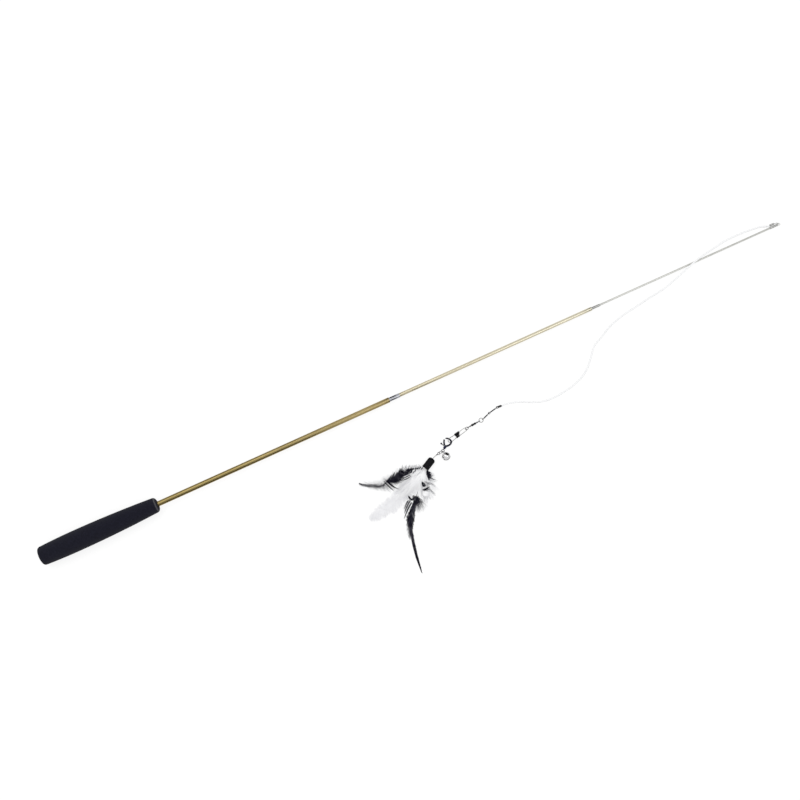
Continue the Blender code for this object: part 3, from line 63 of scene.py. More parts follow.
def along(x, y, z, heading, pitch=0.0, roll=0.0):
    """A place whose x axis points to a heading in plan, raised by pitch and rolled, in degrees."""
    return (shift(x, y, z) @ Matrix.Rotation(radians(heading), 4, "Z")
            @ Matrix.Rotation(-radians(pitch), 4, "Y") @ Matrix.Rotation(radians(roll), 4, "X"))


RING_3_PITCH = degrees(0.137007)
PLACES = {
    "tip_crimp": shift(0.474231, 0.00315, 0.0014),
    "lure_crimp": along(0.079831, -0.061734, 0.00147, 177.0),
    "leader_link_1": along(0.072978, -0.061692, 0.00147, 191.0),
    "leader_link_2": along(0.061408, -0.064139, 0.00147, 200.0),
    "ring_1": along(0.050155, -0.067464, 0.001635, 184.5),
    "swivel_eye_a": along(0.047184, -0.067698, 0.0018, 184.5),
    "swivel_barrel": along(0.043047, -0.068024, 0.0018, 184.5),
    "swivel_eye_b": along(0.032729, -0.068836, 0.0018, 4.5),
    "ring_2": along(0.030441, -0.06928, 0.0018, 191.0, roll=30.0),
    "snap_wire": along(0.027369, -0.069877, 0.002108, 191.0, roll=-27.0),
    "clasp_body": along(-0.006925, -0.081951, 0.002108, 37.5),
    "clasp_pivot": shift(0.0062, 0.0009),
    "bell_lower": along(-0.00644, -0.08966, 0.00525, 273.6, 26.935),
    "bell_ball": shift(-0.00644, -0.08966, 0.00245),
    "ring_3": along(-0.010009, -0.08233, 0.002435, 187.0, RING_3_PITCH, 58.0),
    "lure_wire": along(-0.012929, -0.082762, 0.002842, 190.0, RING_3_PITCH, -20.0),
    "lure_cap": along(-0.022109, -0.085568, 0.0046, 207.4),
}
UPRIGHT = Matrix.Rotation(pi / 2, 4, "X")
ACROSS = Matrix.Rotation(-pi / 2, 4, "Y")
ON_AXIS = 1e-9
SHARP_EDGE = radians(40.0)
SHARP_CORNER = radians(25.0)
MOST_OF_EDGE = 0.45
SPAN_STEPS = 20
MM = 1000.0  # in a metre


# Shapes are pairs of points, in millimetres, and faces.
def smooth_route(route, spacing=None, count=None):
    """Points at an even spacing on a smooth curve through the points of the route."""
    route = [Vector(point) for point in route]
    ends = [2 * route[0] - route[1]] + route + [2 * route[-1] - route[-2]]
    fine = []
    for a, b, c, d in zip(ends, ends[1:], ends[2:], ends[3:]):
        for t in [i / SPAN_STEPS for i in range(SPAN_STEPS)]:
            fine.append(0.5 * (2 * b + (c - a) * t + (2 * a - 5 * b + 4 * c - d) * t * t
                               + (3 * b - a - 3 * c + d) * t ** 3))
    fine = np.array([tuple(p) for p in fine + [route[-1]]])
    length = np.linalg.norm(np.diff(fine, axis=0), axis=1).sum()
    return resample(fine, np.linspace(0.0, 1.0, (count or max(2, round(length / spacing))) + 1))


def resample(points, t):
    """Points of a route at shares t of its length."""
    pts = np.asarray(points, float)
    reach = np.concatenate([[0.0], np.cumsum(np.linalg.norm(np.diff(pts, axis=0), axis=1))])
    t = np.clip(t, 0.0, 1.0) * reach[-1]
    return np.stack([np.interp(t, reach, pts[:, k]) for k in range(pts.shape[1])], 1)


def lathe(outline, sides):
    """A section of (x, radius) points turned about the x axis; it closes itself off the axis."""
    verts, faces, rings = [], [], []
    for x, r in outline:
        first = len(verts)
        count = 1 if r <= ON_AXIS else sides
        verts += [(x, r * cos(a), r * sin(a)) for a in [2 * pi * k / sides for k in range(count)]]
        rings.append(range(first, first + count))
    pairs = list(zip(rings, rings[1:]))
    if len(rings[0]) > 1 or len(rings[-1]) > 1:
        pairs.append((rings[-1], rings[0]))
    for a, b in pairs:
        for k in range(sides if len(a) + len(b) > 2 else 0):
            n = (k + 1) % sides
            if len(a) == 1:
                faces.append((a[0], b[n], b[k]))
            elif len(b) == 1:
                faces.append((a[k], a[n], b[0]))
            else:
                faces.append((a[k], a[n], b[n], b[k]))
    return verts, faces


def soften(outline, size, steps=3):
    """Rounds the sharp corners of an outline of (x, radius) points."""
    made = []
    for i, point in enumerate(outline):
        p, a, b = Vector(point), Vector(outline[i - 1]), Vector(outline[(i + 1) % len(outline)])
        if (p.y <= ON_AXIS or (p - a).length < ON_AXIS or (b - p).length < ON_AXIS
                or (p - a).angle(b - p) < SHARP_CORNER):
            made.append(tuple(p))
            continue
        start = p + (a - p).normalized() * min(size, MOST_OF_EDGE * (a - p).length)
        end = p + (b - p).normalized() * min(size, MOST_OF_EDGE * (b - p).length)
        for t in [k / steps for k in range(steps + 1)]:
            made.append(tuple(start * (1 - t) ** 2 + p * (2 * t * (1 - t)) + end * t * t))
    return made


def turned(outline, rounding, sides):
    return lathe(soften(outline, rounding), sides)


def tube(start, end, inner, outer):
    return [(start, inner), (start, outer), (end, outer), (end, inner)]


def arc(radius, start, end, steps):
    return [(radius * cos(a), radius * sin(a)) for a in np.linspace(start, end, steps + 1)]


def ball(radius, steps, sides):
    return lathe([(-radius, 0.0)] + arc(radius, pi, 0, steps)[1:-1] + [(radius, 0.0)], sides)


def coil(start, length, radius, steps, per_turn):
    return [(start + length * i / steps, radius * cos(turn), radius * sin(turn))
            for i, turn in [(k, k * 2 * pi / per_turn) for k in range(steps + 1)]]


def skin(count, sides, closed=False):
    """Faces round a row of rings, with caps on a row that is open."""
    faces = []
    for i in range(count if closed else count - 1):
        a, b = i * sides, (i + 1) % count * sides
        for k in range(sides):
            m = (k + 1) % sides
            faces.append((a + k, a + m, b + m, b + k))
    if not closed:
        faces += [tuple(range(sides - 1, -1, -1)), tuple(range((count - 1) * sides, count * sides))]
    return faces


def sweep(points, radius, sides=10, closed=False):
    """A round wire along points; radius is one number or one for each point."""
    pts = np.asarray(points, float)
    n = len(pts)
    radii = np.broadcast_to(np.asarray(radius, float), (n,))
    tangents = np.roll(pts, -1, 0) - np.roll(pts, 1, 0) if closed else np.gradient(pts, axis=0)
    tangents /= np.linalg.norm(tangents, axis=1)[:, None]
    start = np.cross(tangents[0], (0.0, 0.0, 1.0) if abs(tangents[0][2]) < 0.9 else (1.0, 0.0, 0.0))
    normals = [start / np.linalg.norm(start)]
    for tangent in [*tangents[1:], *tangents[:closed]]:
        v = normals[-1] - tangent * np.dot(normals[-1], tangent)
        normals.append(v / np.linalg.norm(v))
    last, normals = normals[-1], np.array(normals[:n])
    if closed:
        miss = atan2(np.dot(last, np.cross(tangents[0], normals[0])), np.dot(last, normals[0]))
        turn = -miss * np.arange(n)[:, None] / n
        normals = normals * np.cos(turn) + np.cross(tangents, normals) * np.sin(turn)
    angles = 2 * pi * np.arange(sides)[:, None] / sides
    rings = pts[:, None] + radii[:, None, None] * (
        np.cos(angles) * normals[:, None] + np.sin(angles) * np.cross(tangents, normals)[:, None])
    return [tuple(v) for v in rings.reshape(-1, 3)], skin(n, sides, closed)


def ring_wire(radius, wire, gap=0.0):
    """A flat wire ring about the origin; with a gap it is a jump ring that is cut through at +x."""
    half = asin(gap / 2 / radius)
    points = [(x, y, 0.0) for x, y in arc(radius, half, 2 * pi - half, 48)]
    return sweep(points if gap else points[:-1], wire, 12, closed=not gap)


def loft(sections):
    """Joins closed sections with the same number of points."""
    return [tuple(p) for section in sections for p in section], skin(len(sections), len(sections[0]))


def prism(outline, low, high):
    return loft([[(x, y, z) for x, y in outline] for z in (low, high)])


def moved(shape, place):
    return [tuple(place @ Vector(v)) for v in shape[0]], shape[1]


def merged(*shapes):
    verts, faces = [], []
    for points, sides in shapes:
        first = len(verts)
        verts += points
        faces += [tuple(first + i for i in face) for face in sides]
    return verts, faces


def turn_outward(mesh):
    work = bmesh.new()
    work.from_mesh(mesh)
    bmesh.ops.recalc_face_normals(work, faces=work.faces)
    work.to_mesh(mesh)
    work.free()


def shaded(mesh):
    mesh.shade_smooth()
    mesh.set_sharp_from_angle(angle=SHARP_EDGE)
    return mesh


def mesh_of(shape):
    mesh = bpy.data.meshes.new("shape")
    mesh.from_pydata([[v / MM for v in point] for point in shape[0]], [], shape[1])
    turn_outward(mesh)
    return shaded(mesh)


def add_object(name, data):
    made = bpy.data.objects.new(name, data)
    bpy.context.scene.collection.objects.link(made)
    return made


def cut_away(mesh, *tools):
    """The mesh with other shapes cut from it."""
    holder = add_object("holder", mesh)
    used = [holder]
    for shape, place in tools:
        cutter = add_object("cutter", mesh_of(shape))
        cutter.matrix_world = place
        step = holder.modifiers.new("cut", "BOOLEAN")
        step.operation, step.solver, step.object = "DIFFERENCE", "EXACT", cutter
        used.append(cutter)
    bpy.context.view_layer.update()
    result = bpy.data.meshes.new_from_object(holder.evaluated_get(bpy.context.evaluated_depsgraph_get()))
    for item in used:
        bpy.data.objects.remove(item)
    result.materials.clear()
    return shaded(result)


LOOKS = {}


def piece(name, shape, look, body, node=None, place=None):
    """Makes a piece, puts it in place, hangs it on the body it rides on and hides the node it stands for."""
    mesh = shape if isinstance(shape, bpy.types.Mesh) else mesh_of(shape)
    made = add_object(name, mesh)
    if place is WAND:
        made.matrix_world = WAND
    elif place or node in PLACES:
        mesh.transform(place or PLACES[node])
    mesh.materials.append(LOOKS[look])
    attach(made, body)
    if node:
        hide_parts(node)
    return made


# Materials
def add_node(tree, kind, **inputs):
    """A shader node; each input gets a value or a link from another node's output."""
    node = tree.nodes.new("ShaderNode" + kind)
    for name, value in inputs.items():
        socket = node.inputs[name.replace("_", " ")]
        if isinstance(value, bpy.types.NodeSocket):
            tree.links.new(value, socket)
        else:
            socket.default_value = value
    return node


class Look:
    """A Principled material and the nodes that give it its detail."""

    def __init__(self, name, colour, roughness, metallic=0.0, **sockets):
        self.material = LOOKS[name] = bpy.data.materials.new(name)
        self.material.use_nodes = True
        self.tree = self.material.node_tree
        self.shader = self.tree.nodes["Principled BSDF"]
        self.set(Base_Color=(*colour, 1.0), Roughness=roughness, Metallic=metallic, **sockets)
        self.where = self.node("TexCoord").outputs["Object"]

    def node(self, kind, **inputs):
        return add_node(self.tree, kind, **inputs)

    def set(self, **sockets):
        for key, value in sockets.items():
            self.shader.inputs[key.replace("_", " ")].default_value = value

    def wear(self, colour, roughness=None):
        self.tree.links.new(colour, self.shader.inputs["Base Color"])
        if roughness:
            self.tree.links.new(roughness, self.shader.inputs["Roughness"])

    def bump(self, height, strength, distance):
        node = self.node("Bump", Strength=strength, Distance=distance, Height=height)
        self.tree.links.new(node.outputs["Normal"], self.shader.inputs["Normal"])

    def scaled(self, scale):
        scale = scale if isinstance(scale, tuple) else (scale,) * 3
        return self.node("Mapping", Scale=scale, Vector=self.where).outputs["Vector"]

    def noise(self, scale, detail=3.0, rough=0.55):
        return self.node("TexNoise", Scale=1.0, Detail=detail, Roughness=rough,
                         Vector=self.scaled(scale)).outputs["Fac"]

    def cells(self, scale):
        return self.node("TexVoronoi", Scale=1.0, Vector=self.scaled(scale)).outputs["Distance"]

    def tone(self):
        """The tone that each barb carries."""
        node = self.node("Attribute")
        node.attribute_name = "tone"
        return node.outputs["Fac"]

    def along_x(self, start, end):
        """0 to 1 between two stations on the x axis."""
        x = self.node("SeparateXYZ", Vector=self.where).outputs["X"]
        return self.node("MapRange", From_Min=start, From_Max=end, Value=x).outputs["Result"]

    def ramp(self, value, *stops):
        node = self.node("ValToRGB", Fac=value)
        band = node.color_ramp
        while len(band.elements) < len(stops):
            band.elements.new(0.5)
        for element, (at, colour) in zip(band.elements, stops):
            element.position = at
            element.color = (*(colour if isinstance(colour, tuple) else (colour,) * 3), 1.0)
        return node.outputs["Color"]

    def blend(self, kind, amount, a, b):
        node = self.node("Mix", Factor=amount)
        node.data_type, node.blend_type = "RGBA", kind
        self.tree.links.new(a, node.inputs[6])
        self.tree.links.new(b, node.inputs[7])
        return node.outputs[2]


def drawn_metal(name, dark, light, roughness, streak=0.06, painted_rear_shade=None, **sockets):
    """Metal with fine lines along its x axis, soft stains and slightly uneven gloss.
    The painted shade argument gives the stations where the metal stops and starts to be darker, and the tint
    it then has: painted shade that darkens the metal towards its rear end."""
    look = Look(name, light, roughness, 1.0, **sockets)
    lines = look.noise((60.0, 5200.0, 5200.0), 2.0)
    stains = look.noise((45.0, 160.0, 160.0))
    tone = look.blend("MIX", 0.35, look.ramp(lines, (0.3, dark), (0.7, light)),
                      look.ramp(stains, (0.35, dark), (0.65, light)))
    # Painted shade: the colour is darkened towards the rear end of the tube.
    if painted_rear_shade:
        start, end, tint = painted_rear_shade
        tone = look.blend("MULTIPLY", 1.0, tone, look.ramp(look.along_x(start, end), (0.0, tint), (1.0, 1.0)))
    look.wear(tone, look.ramp(look.noise((300.0, 2600.0, 2600.0)),
                              (0.3, roughness - streak), (0.7, roughness + streak)))
    look.bump(lines, 0.12, 0.00002)


def plated_metal(name, dark, light, roughness, spread=0.05, **sockets):
    """Plated small hardware: soft cloudy tone, fine scratches and uneven gloss."""
    look = Look(name, light, roughness, 1.0, **sockets)
    grain = look.noise(5200.0, 2.0)
    look.wear(look.ramp(look.noise(900.0), (0.32, dark), (0.66, light)),
              look.ramp(grain, (0.3, roughness - spread), (0.7, roughness + spread)))
    look.bump(grain, 0.08, 0.00002)


def mottled(name, colour, roughness, scale, dark, light, gloss, bump, **sockets):
    """One noise for the colour, the gloss where it is uneven, and the bump."""
    look = Look(name, colour, roughness, **sockets)
    grain = look.noise(scale)
    look.wear(look.ramp(grain, (0.3, dark), (0.7, light)),
              gloss and look.ramp(grain, (0.3, gloss[0]), (0.7, gloss[1])))
    look.bump(grain, *bump)


def barbs_look(name, colour, roughness, level, amount, tones, scale, least, gloss):
    look = Look(name, colour, roughness, Specular_IOR_Level=level)
    look.wear(look.blend("MULTIPLY", amount, look.ramp(look.tone(), *tones),
                         look.ramp(look.noise(scale), (0.3, least), (0.7, 1.0))),
              look.ramp(look.noise(1500.0, 2.0), (0.3, gloss[0]), (0.7, gloss[1])))


def make_looks():
    foam = Look("foam", (0.012, 0.0125, 0.018), 0.9, Sheen_Weight=0.05, Sheen_Roughness=0.6,
                Specular_IOR_Level=0.06)
    pores = foam.cells(1700.0)
    mottle = foam.noise(420.0, 5.0, 0.7)
    # The face is darker at the centres of the pores, the hollows of the bump: painted shade in the pores.
    face = foam.blend("MULTIPLY", 0.55,
                      foam.ramp(mottle, (0.3, (0.0046, 0.0048, 0.0095)), (0.72, (0.0110, 0.0112, 0.0205))),
                      foam.ramp(pores, (0.0, 0.35), (0.45, 1.0)))
    # A lighter band round the front rounding of the grip: painted highlight where the front face catches the
    # light.
    cut = foam.ramp(mottle, (0.3, (0.048, 0.048, 0.053)), (0.72, (0.09, 0.09, 0.095)))
    edge = foam.ramp(foam.along_x((GRIP_LENGTH - 3.0) / MM, (GRIP_LENGTH - 0.8) / MM),
                     (0.0, 0.0), (0.3, 1.0), (0.6, 1.0), (1.0, 0.0))
    foam.wear(foam.blend("MIX", edge, face, cut), foam.ramp(mottle, (0.2, 0.82), (0.8, 0.97)))
    foam.bump(pores, 0.5, 0.00012)

    mottled("plastic", (0.02, 0.02, 0.022), 0.5, 2600.0, (0.016, 0.016, 0.018), (0.032, 0.032, 0.036),
            (0.42, 0.6), (0.2, 0.00003))
    mottled("bush", (0.72, 0.72, 0.69), 0.5, 1300.0, (0.66, 0.66, 0.62), (0.76, 0.76, 0.73), None,
            (0.15, 0.00003))
    mottled("cord", (0.82, 0.823, 0.835), 0.55, 3800.0, (0.79, 0.793, 0.805), (0.86, 0.862, 0.87),
            (0.38, 0.55), (0.2, 0.00004), Specular_IOR_Level=0.2)
    gloss = Look("gloss_black", (0.004, 0.004, 0.005), 0.3, Specular_IOR_Level=0.05)
    marks = gloss.noise((1500.0, 3200.0, 3200.0), 4.0, 0.6)
    gloss.wear(gloss.ramp(marks, (0.3, (0.0025, 0.0025, 0.0035)), (0.75, (0.006, 0.006, 0.008))),
               gloss.ramp(marks, (0.3, 0.18), (0.75, 0.36)))
    gloss.bump(gloss.noise(700.0, 2.0), 0.12, 0.00006)

    barbs_look("feather_dark", (0.02, 0.02, 0.027), 0.6, 0.08, 0.5,
               ((0.0, (0.005, 0.0047, 0.0115)), (0.3, (0.034, 0.032, 0.048)), (0.65, (0.30, 0.30, 0.31)),
                (1.0, (0.88, 0.88, 0.89))), 900.0, 0.75, (0.4, 0.65))
    barbs_look("feather_white", (0.9, 0.9, 0.9), 0.7, 0.1, 0.3,
               ((0.0, (0.97, 0.97, 0.975)), (0.4, (0.80, 0.80, 0.82)), (1.0, (0.28, 0.28, 0.30))),
               700.0, 0.88, (0.6, 0.85))

    # Both gold tubes are painted darker towards their rear ends: painted shade.
    drawn_metal("gold", (0.272, 0.212, 0.10), (0.392, 0.312, 0.152), 0.3,
                painted_rear_shade=(0.24, 0.44, (0.70, 0.685, 0.575)), Specular_Tint=(0.75, 0.60, 0.36, 1.0))
    drawn_metal("pale_gold", (0.50, 0.465, 0.36), (0.66, 0.625, 0.50), 0.28,
                painted_rear_shade=(0.46, 0.70, (0.86, 0.82, 0.73)), Specular_Tint=(0.9, 0.8, 0.6, 1.0))
    drawn_metal("ferrule", (0.31, 0.315, 0.345), (0.45, 0.455, 0.48), 0.16, 0.04)
    drawn_metal("rod", (0.42, 0.42, 0.395), (0.57, 0.57, 0.54), 0.3)
    plated_metal("steel", (0.52, 0.51, 0.49), (0.72, 0.715, 0.70), 0.2)
    plated_metal("tip_metal", (0.30, 0.30, 0.29), (0.44, 0.44, 0.43), 0.3, Specular_Tint=(0.4, 0.4, 0.4, 1.0))
    plated_metal("bell_metal", (0.50, 0.50, 0.505), (0.67, 0.67, 0.675), 0.17, 0.04)
    for name, dark, light, roughness in (
            ("dark_metal", (0.012, 0.012, 0.013), (0.04, 0.04, 0.042), 0.28),
            ("blue_black", (0.008, 0.009, 0.022), (0.022, 0.025, 0.05), 0.24),
            ("grey_metal", (0.13, 0.13, 0.128), (0.24, 0.24, 0.235), 0.3),
            ("dark_steel", (0.014, 0.014, 0.015), (0.055, 0.055, 0.058), 0.26)):
        plated_metal(name, dark, light, roughness, Specular_Tint=(0.12, 0.12, 0.14, 1.0))


# Camera, light and floor
FOCAL_LENGTH, SENSOR = 51.75, 36.0
CAMERA_AT = (-0.10795, -0.17967, 1.36942)
CAMERA_LOOKS = Vector((0.05787674, 0.12656791, -0.99026807))
PICTURE_TURN = radians(24.5736)
WHITE = (1.0, 1.0, 1.0, 1.0)


def add_camera():
    data = bpy.data.cameras.new("camera")
    data.lens, data.sensor_width, data.clip_start, data.clip_end = FOCAL_LENGTH, SENSOR, 0.01, 50.0
    camera = add_object("camera", data)
    right = Vector((cos(PICTURE_TURN), -sin(PICTURE_TURN), 0.0))
    back = -CAMERA_LOOKS
    turn = Matrix((right, back.cross(right), back)).transposed().to_4x4()
    camera.matrix_world = shift(*CAMERA_AT) @ turn
    bpy.context.scene.camera = camera


def seen_level(tree, others, seen):
    """One level for rays from the camera and for reflected and refracted ones, another for all others."""
    path = add_node(tree, "LightPath")
    last = path.outputs["Is Camera Ray"]
    for name in ("Is Glossy Ray", "Is Transmission Ray"):
        both = add_node(tree, "Math")
        both.operation = "MAXIMUM"
        tree.links.new(last, both.inputs[0])
        tree.links.new(path.outputs[name], both.inputs[1])
        last = both.outputs[0]
    return add_node(tree, "MapRange", To_Min=others, To_Max=seen, Value=last).outputs["Result"]


def add_sheet(name, corners, look):
    """A flat sheet that belongs to the stage."""
    sheet = add_object(name, bpy.data.meshes.new(name))
    sheet.data.from_pydata(corners, [], [(0, 1, 2, 3)])
    sheet.data.materials.append(look.material)
    return sheet


def add_stage():
    scene = bpy.context.scene
    scene.view_settings.view_transform = "Standard"
    scene.world = bpy.data.worlds.new("studio")
    scene.world.use_nodes = True
    tree = scene.world.node_tree
    tree.nodes["Background"].inputs["Color"].default_value = WHITE
    tree.links.new(seen_level(tree, 0.9, 1.0), tree.nodes["Background"].inputs["Strength"])

    look = Look("floor", (0.24,) * 3, 1.0, Specular_IOR_Level=0.0, Emission_Color=WHITE)
    look.tree.links.new(seen_level(look.tree, 0.25, 0.78), look.shader.inputs["Emission Strength"])
    add_sheet("floor", [(-9, -9, 0), (9, -9, 0), (9, 9, 0), (-9, 9, 0)], look)

    # Dark cards beside the bell and the wand, seen only in reflections: middle, direction, length, heights.
    look = Look("flag", (0.02,) * 3, 1.0, Specular_IOR_Level=0.0)
    for name, x, y, dx, dy, length, low, high in (
            ("flag_bell", 0.0077, -0.0727, -0.77, 0.64, 0.056, 0.002, 0.042),
            ("flag_rear", -0.25, -0.10, 1.0, 0.0, 0.26, 0.0, 0.085),
            ("flag_rear_far", -0.25, 0.12, 1.0, 0.0, 0.26, 0.0, 0.03),
            ("flag_joint_1a", -0.0313, 0.03, 1.0, 0.0, 0.012, 0.0, 0.045),
            ("flag_joint_1b", -0.0313, -0.03, 1.0, 0.0, 0.012, 0.0, 0.03),
            ("flag_joint_2a", 0.2423, 0.03, 1.0, 0.0, 0.010, 0.0, 0.04),
            ("flag_joint_2b", 0.2423, -0.03, 1.0, 0.0, 0.010, 0.0, 0.04)):
        a, b = [(x + side * dx * length / 2, y + side * dy * length / 2) for side in (-1, 1)]
        flag = add_sheet(name, [(*a, low), (*b, low), (*b, high), (*a, high)], look)
        flag.visible_camera = flag.visible_diffuse = flag.visible_shadow = False
        flag.visible_transmission = flag.visible_volume_scatter = False

    for name, place, size, power in (
            ("key", (-0.5, 0.7, 1.7), 1.2, 8.0), ("fill", (0.7, -0.6, 1.7), 1.0, 5.0)):
        data = bpy.data.lights.new(name, "AREA")
        data.shape, data.size, data.energy = "SQUARE", size, power
        toward_origin = (-Vector(place)).to_track_quat("-Z", "Y").to_matrix().to_4x4()
        add_object(name, data).matrix_world = shift(*place) @ toward_origin


# Cord
CORD_STEP, CORD_SIDES = 0.0056, 16
BRAID_STEP, BRAID_PITCH, BRAID_DEPTH, BRAID_STRANDS = 0.00028, 0.0009, 0.035, 4


def make_cord(on_it):
    route = [CORD_EXIT] + [(CORD_EXIT[0] + x, CORD_EXIT[1] + y, z) for x, y, z in CORD_ROUTE]
    coarse = [tuple(p) for p in smooth_route(route, CORD_STEP)]
    fine = smooth_route(coarse, BRAID_STEP)
    verts, faces = sweep(fine, CORD_RADIUS, CORD_SIDES)
    centre = np.repeat(fine, CORD_SIDES, axis=0)
    turn = np.tile(2 * pi * np.arange(CORD_SIDES) / CORD_SIDES, len(fine))
    way = np.repeat(np.arange(len(fine)) * BRAID_STEP, CORD_SIDES) / BRAID_PITCH
    strand = np.maximum(np.cos(BRAID_STRANDS * (turn + way)), np.cos(BRAID_STRANDS * (turn - way)))
    verts = centre + (np.array(verts) - centre) * (1 - BRAID_DEPTH + BRAID_DEPTH * strand)[:, None]
    cord = piece("cord_braid", ((verts * MM).tolist(), faces), "cord", "rod_3", "cord")


# Wand: stations along its axis from the butt, and radii, in millimetres
RING_WIRE = 0.35
GRIP_LENGTH, GRIP_MAX, GRIP_MAX_STATION = 148.2, 12.55, 45.0
GRIP_REAR, GRIP_FRONT, REAR_ROUND, FRONT_ROUND = 11.2, 8.9, 3.6, 4.2
BUTT_SEAT, FOAM_BORE, PLUG_DEPTH = 7.7, 4.45, 2.3
TIP_RING, TIP_WIRE = 1.35, 0.45
TIP_EYE = 975.0 - TIP_RING - TIP_WIRE


def grip_radius(s):
    if s < GRIP_MAX_STATION:
        return GRIP_MAX - (GRIP_MAX - GRIP_REAR) * (1.0 - s / GRIP_MAX_STATION) ** 2
    way = (s - GRIP_MAX_STATION) / (GRIP_LENGTH - GRIP_MAX_STATION)
    return GRIP_MAX - (GRIP_MAX - GRIP_FRONT) * way ** 2


def corner(x, size, start, end):
    """A rounded corner of the grip, centred at the station x."""
    return [(x + a, grip_radius(x) - size + r) for a, r in arc(size, start, end, 8)]


def make_grip():
    front = GRIP_LENGTH - FRONT_ROUND
    outline = [(0.0, BUTT_SEAT)] + corner(REAR_ROUND, REAR_ROUND, pi, pi / 2)
    outline += [(s, grip_radius(s)) for s in np.linspace(REAR_ROUND, front, 62)[1:-1]]
    outline += corner(front, FRONT_ROUND, pi / 2, 0.0)
    outline += [(GRIP_LENGTH, 4.9), (GRIP_LENGTH - 1.1, 4.7), (GRIP_LENGTH - 1.6, FOAM_BORE),
                (PLUG_DEPTH, FOAM_BORE), (PLUG_DEPTH, BUTT_SEAT)]
    foam = piece("grip_foam", turned(outline, 0.4, 96), "foam", "grip", "foam_grip", WAND)


def make_wand():
    for name, node, body, look, sides, rounding, outline in (
            ("grip_sleeve", "grip_core", "grip", "plastic", 64, 0.3, tube(PLUG_DEPTH, 144.2, 3.25, 4.3)),
            ("butt_cap", "butt_plug", "grip", "plastic", 64, 0.35, [
                (0.6, 0.0), (0.6, 5.2), (0.0, 5.8), (0.0, 7.4), (2.0, 7.4), (2.0, 3.1), (20.0, 3.1),
                (20.0, 0.0)]),
            ("tube_1_skin", "tube_1", "grip", "gold", 64, 0.18, tube(21.6, 447.6, 2.7, 3.1)),
            ("ferrule_1", "tube_1_collar", "grip", "ferrule", 64, 0.12, [
                (439.6, 2.33), (439.6, 2.62), (447.9, 2.62), (448.2, 2.62), (461.2, 2.62), (461.2, 2.33)]),
            ("tube_2_skin", "tube_2", "tube_2", "pale_gold", 64, 0.16, tube(429.3, 716.7, 1.85, 2.25)),
            ("ferrule_2", "tube_2_collar", "tube_2", "tip_metal", 64, 0.1, [
                (710.7, 1.18), (710.7, 1.77), (716.78, 1.77), (716.78, 1.5), (727.8, 1.5), (727.8, 1.18)]),
            ("rod_skin", "rod_3", "rod_3", "rod", 48, 0.2, tube(702.4, 968.4, 0.0, 1.1)),
            ("tip_ferrule", "tip_cap", "rod_3", "tip_metal", 48, 0.14, [
                (960.5, 1.13), (960.5, 1.34), (971.3, 1.34), (971.3, 0.55), (968.7, 0.55), (968.7, 1.13)])):
        piece(name, turned(outline, rounding, sides), look, body, node, WAND)
    stem = lathe(tube(969.0, 972.2, 0.0, 0.38), 16)
    eye = moved(ring_wire(TIP_RING, TIP_WIRE), shift(TIP_EYE))
    piece("tip_ring", merged(stem, eye), "steel", "rod_3", "tip_eye", WAND)


def pinched_sleeve(radius, length, dents):
    """A crimp sleeve: a rounded tube that is pressed in at some stations."""
    sections, rounding, dent, sides, narrowed, flattened = [], 0.3, 0.6, 24, 0.05, 0.3
    for s in np.linspace(0.0, length, 40):
        edge = min(s, length - s) / rounding
        r = radius * (1.0 if edge > 1 else sqrt(max(0.35, 1 - (1 - edge) ** 2 * 0.5)))
        press = max(exp(-((s - d) / dent) ** 2) for d in dents)
        sections.append([(s, r * cos(a) * (1.0 - narrowed * press), r * sin(a) * (1.0 - flattened * press))
                         for a in [2 * pi * k / sides for k in range(sides)]])
    return loft(sections)


def open_loop(centre, outward, side, radius, half):
    """Points of an open loop, from one side of its mouth to the other."""
    return [centre + outward * (radius * cos(a)) + side * (radius * sin(a))
            for a in [half * (1 - i / 12) for i in range(25)]]


def make_tip_crimp():
    back = PLACES["tip_crimp"].inverted()
    eye, cap_corner = [back @ (WAND @ (Vector(p) / MM)) * MM for p in ((TIP_EYE, 0, 0), (971.3, 1.55, 0))]
    wire, gap, length = 0.22, 0.22, 6.2
    bend = Vector((cap_corner.x + 2 * wire, cap_corner.y + 0.3 + 2 * wire, eye.z / 2))
    inward = Vector((eye.x - bend.x, eye.y - bend.y, 0.0)).normalized()
    centre = eye - inward * TIP_RING
    side, front, tail = Vector((0, 0, wire + gap / 2)), Vector((length, 0, 0)), Vector((1.2, 0, 0))
    route = [front - tail + side, front + side, bend + 2 * side]
    route += open_loop(centre, inward, Vector((0, 0, 1)), 0.9, radians(120.0))
    route += [bend - 2 * side, front - side, front - tail - side]
    sleeve = pinched_sleeve(1.15, length, (1.8, 4.4))
    return piece("tip_crimp_sleeve", merged(sleeve, sweep(route, wire)), "tip_metal", "rod_3", "tip_crimp")


# Leader, swivel and snap
def make_leader():
    length, radius, eye_end = 4.6, 1.15, 1.9
    sleeve = pinched_sleeve(1.25, length, (1.3, 3.3))
    eye = moved(ring_wire(radius, RING_WIRE), shift(length + radius - RING_WIRE / 2))
    made = [piece("lure_crimp_sleeve", merged(sleeve, eye), "dark_metal", "rod_3", "lure_crimp")]
    for number, length, last_upright in ((1, 10.6, False), (2, 9.1, True)):
        route = link_route(length, last_upright)
        thick = [0.45 if eye_end < p[0] < length - eye_end else 0.36 for p in route]
        made.append(piece(f"twist_link_{number}", sweep(route, thick, closed=True), "dark_steel",
                          f"leader_link_{number}", f"leader_link_{number}"))
    return made + [jump_ring("split_ring", 2.55, "swivel", "ring_1")]


def jump_ring(name, radius, body, node):
    return piece(name, ring_wire(radius, RING_WIRE, 0.1), "grey_metal", body, node)


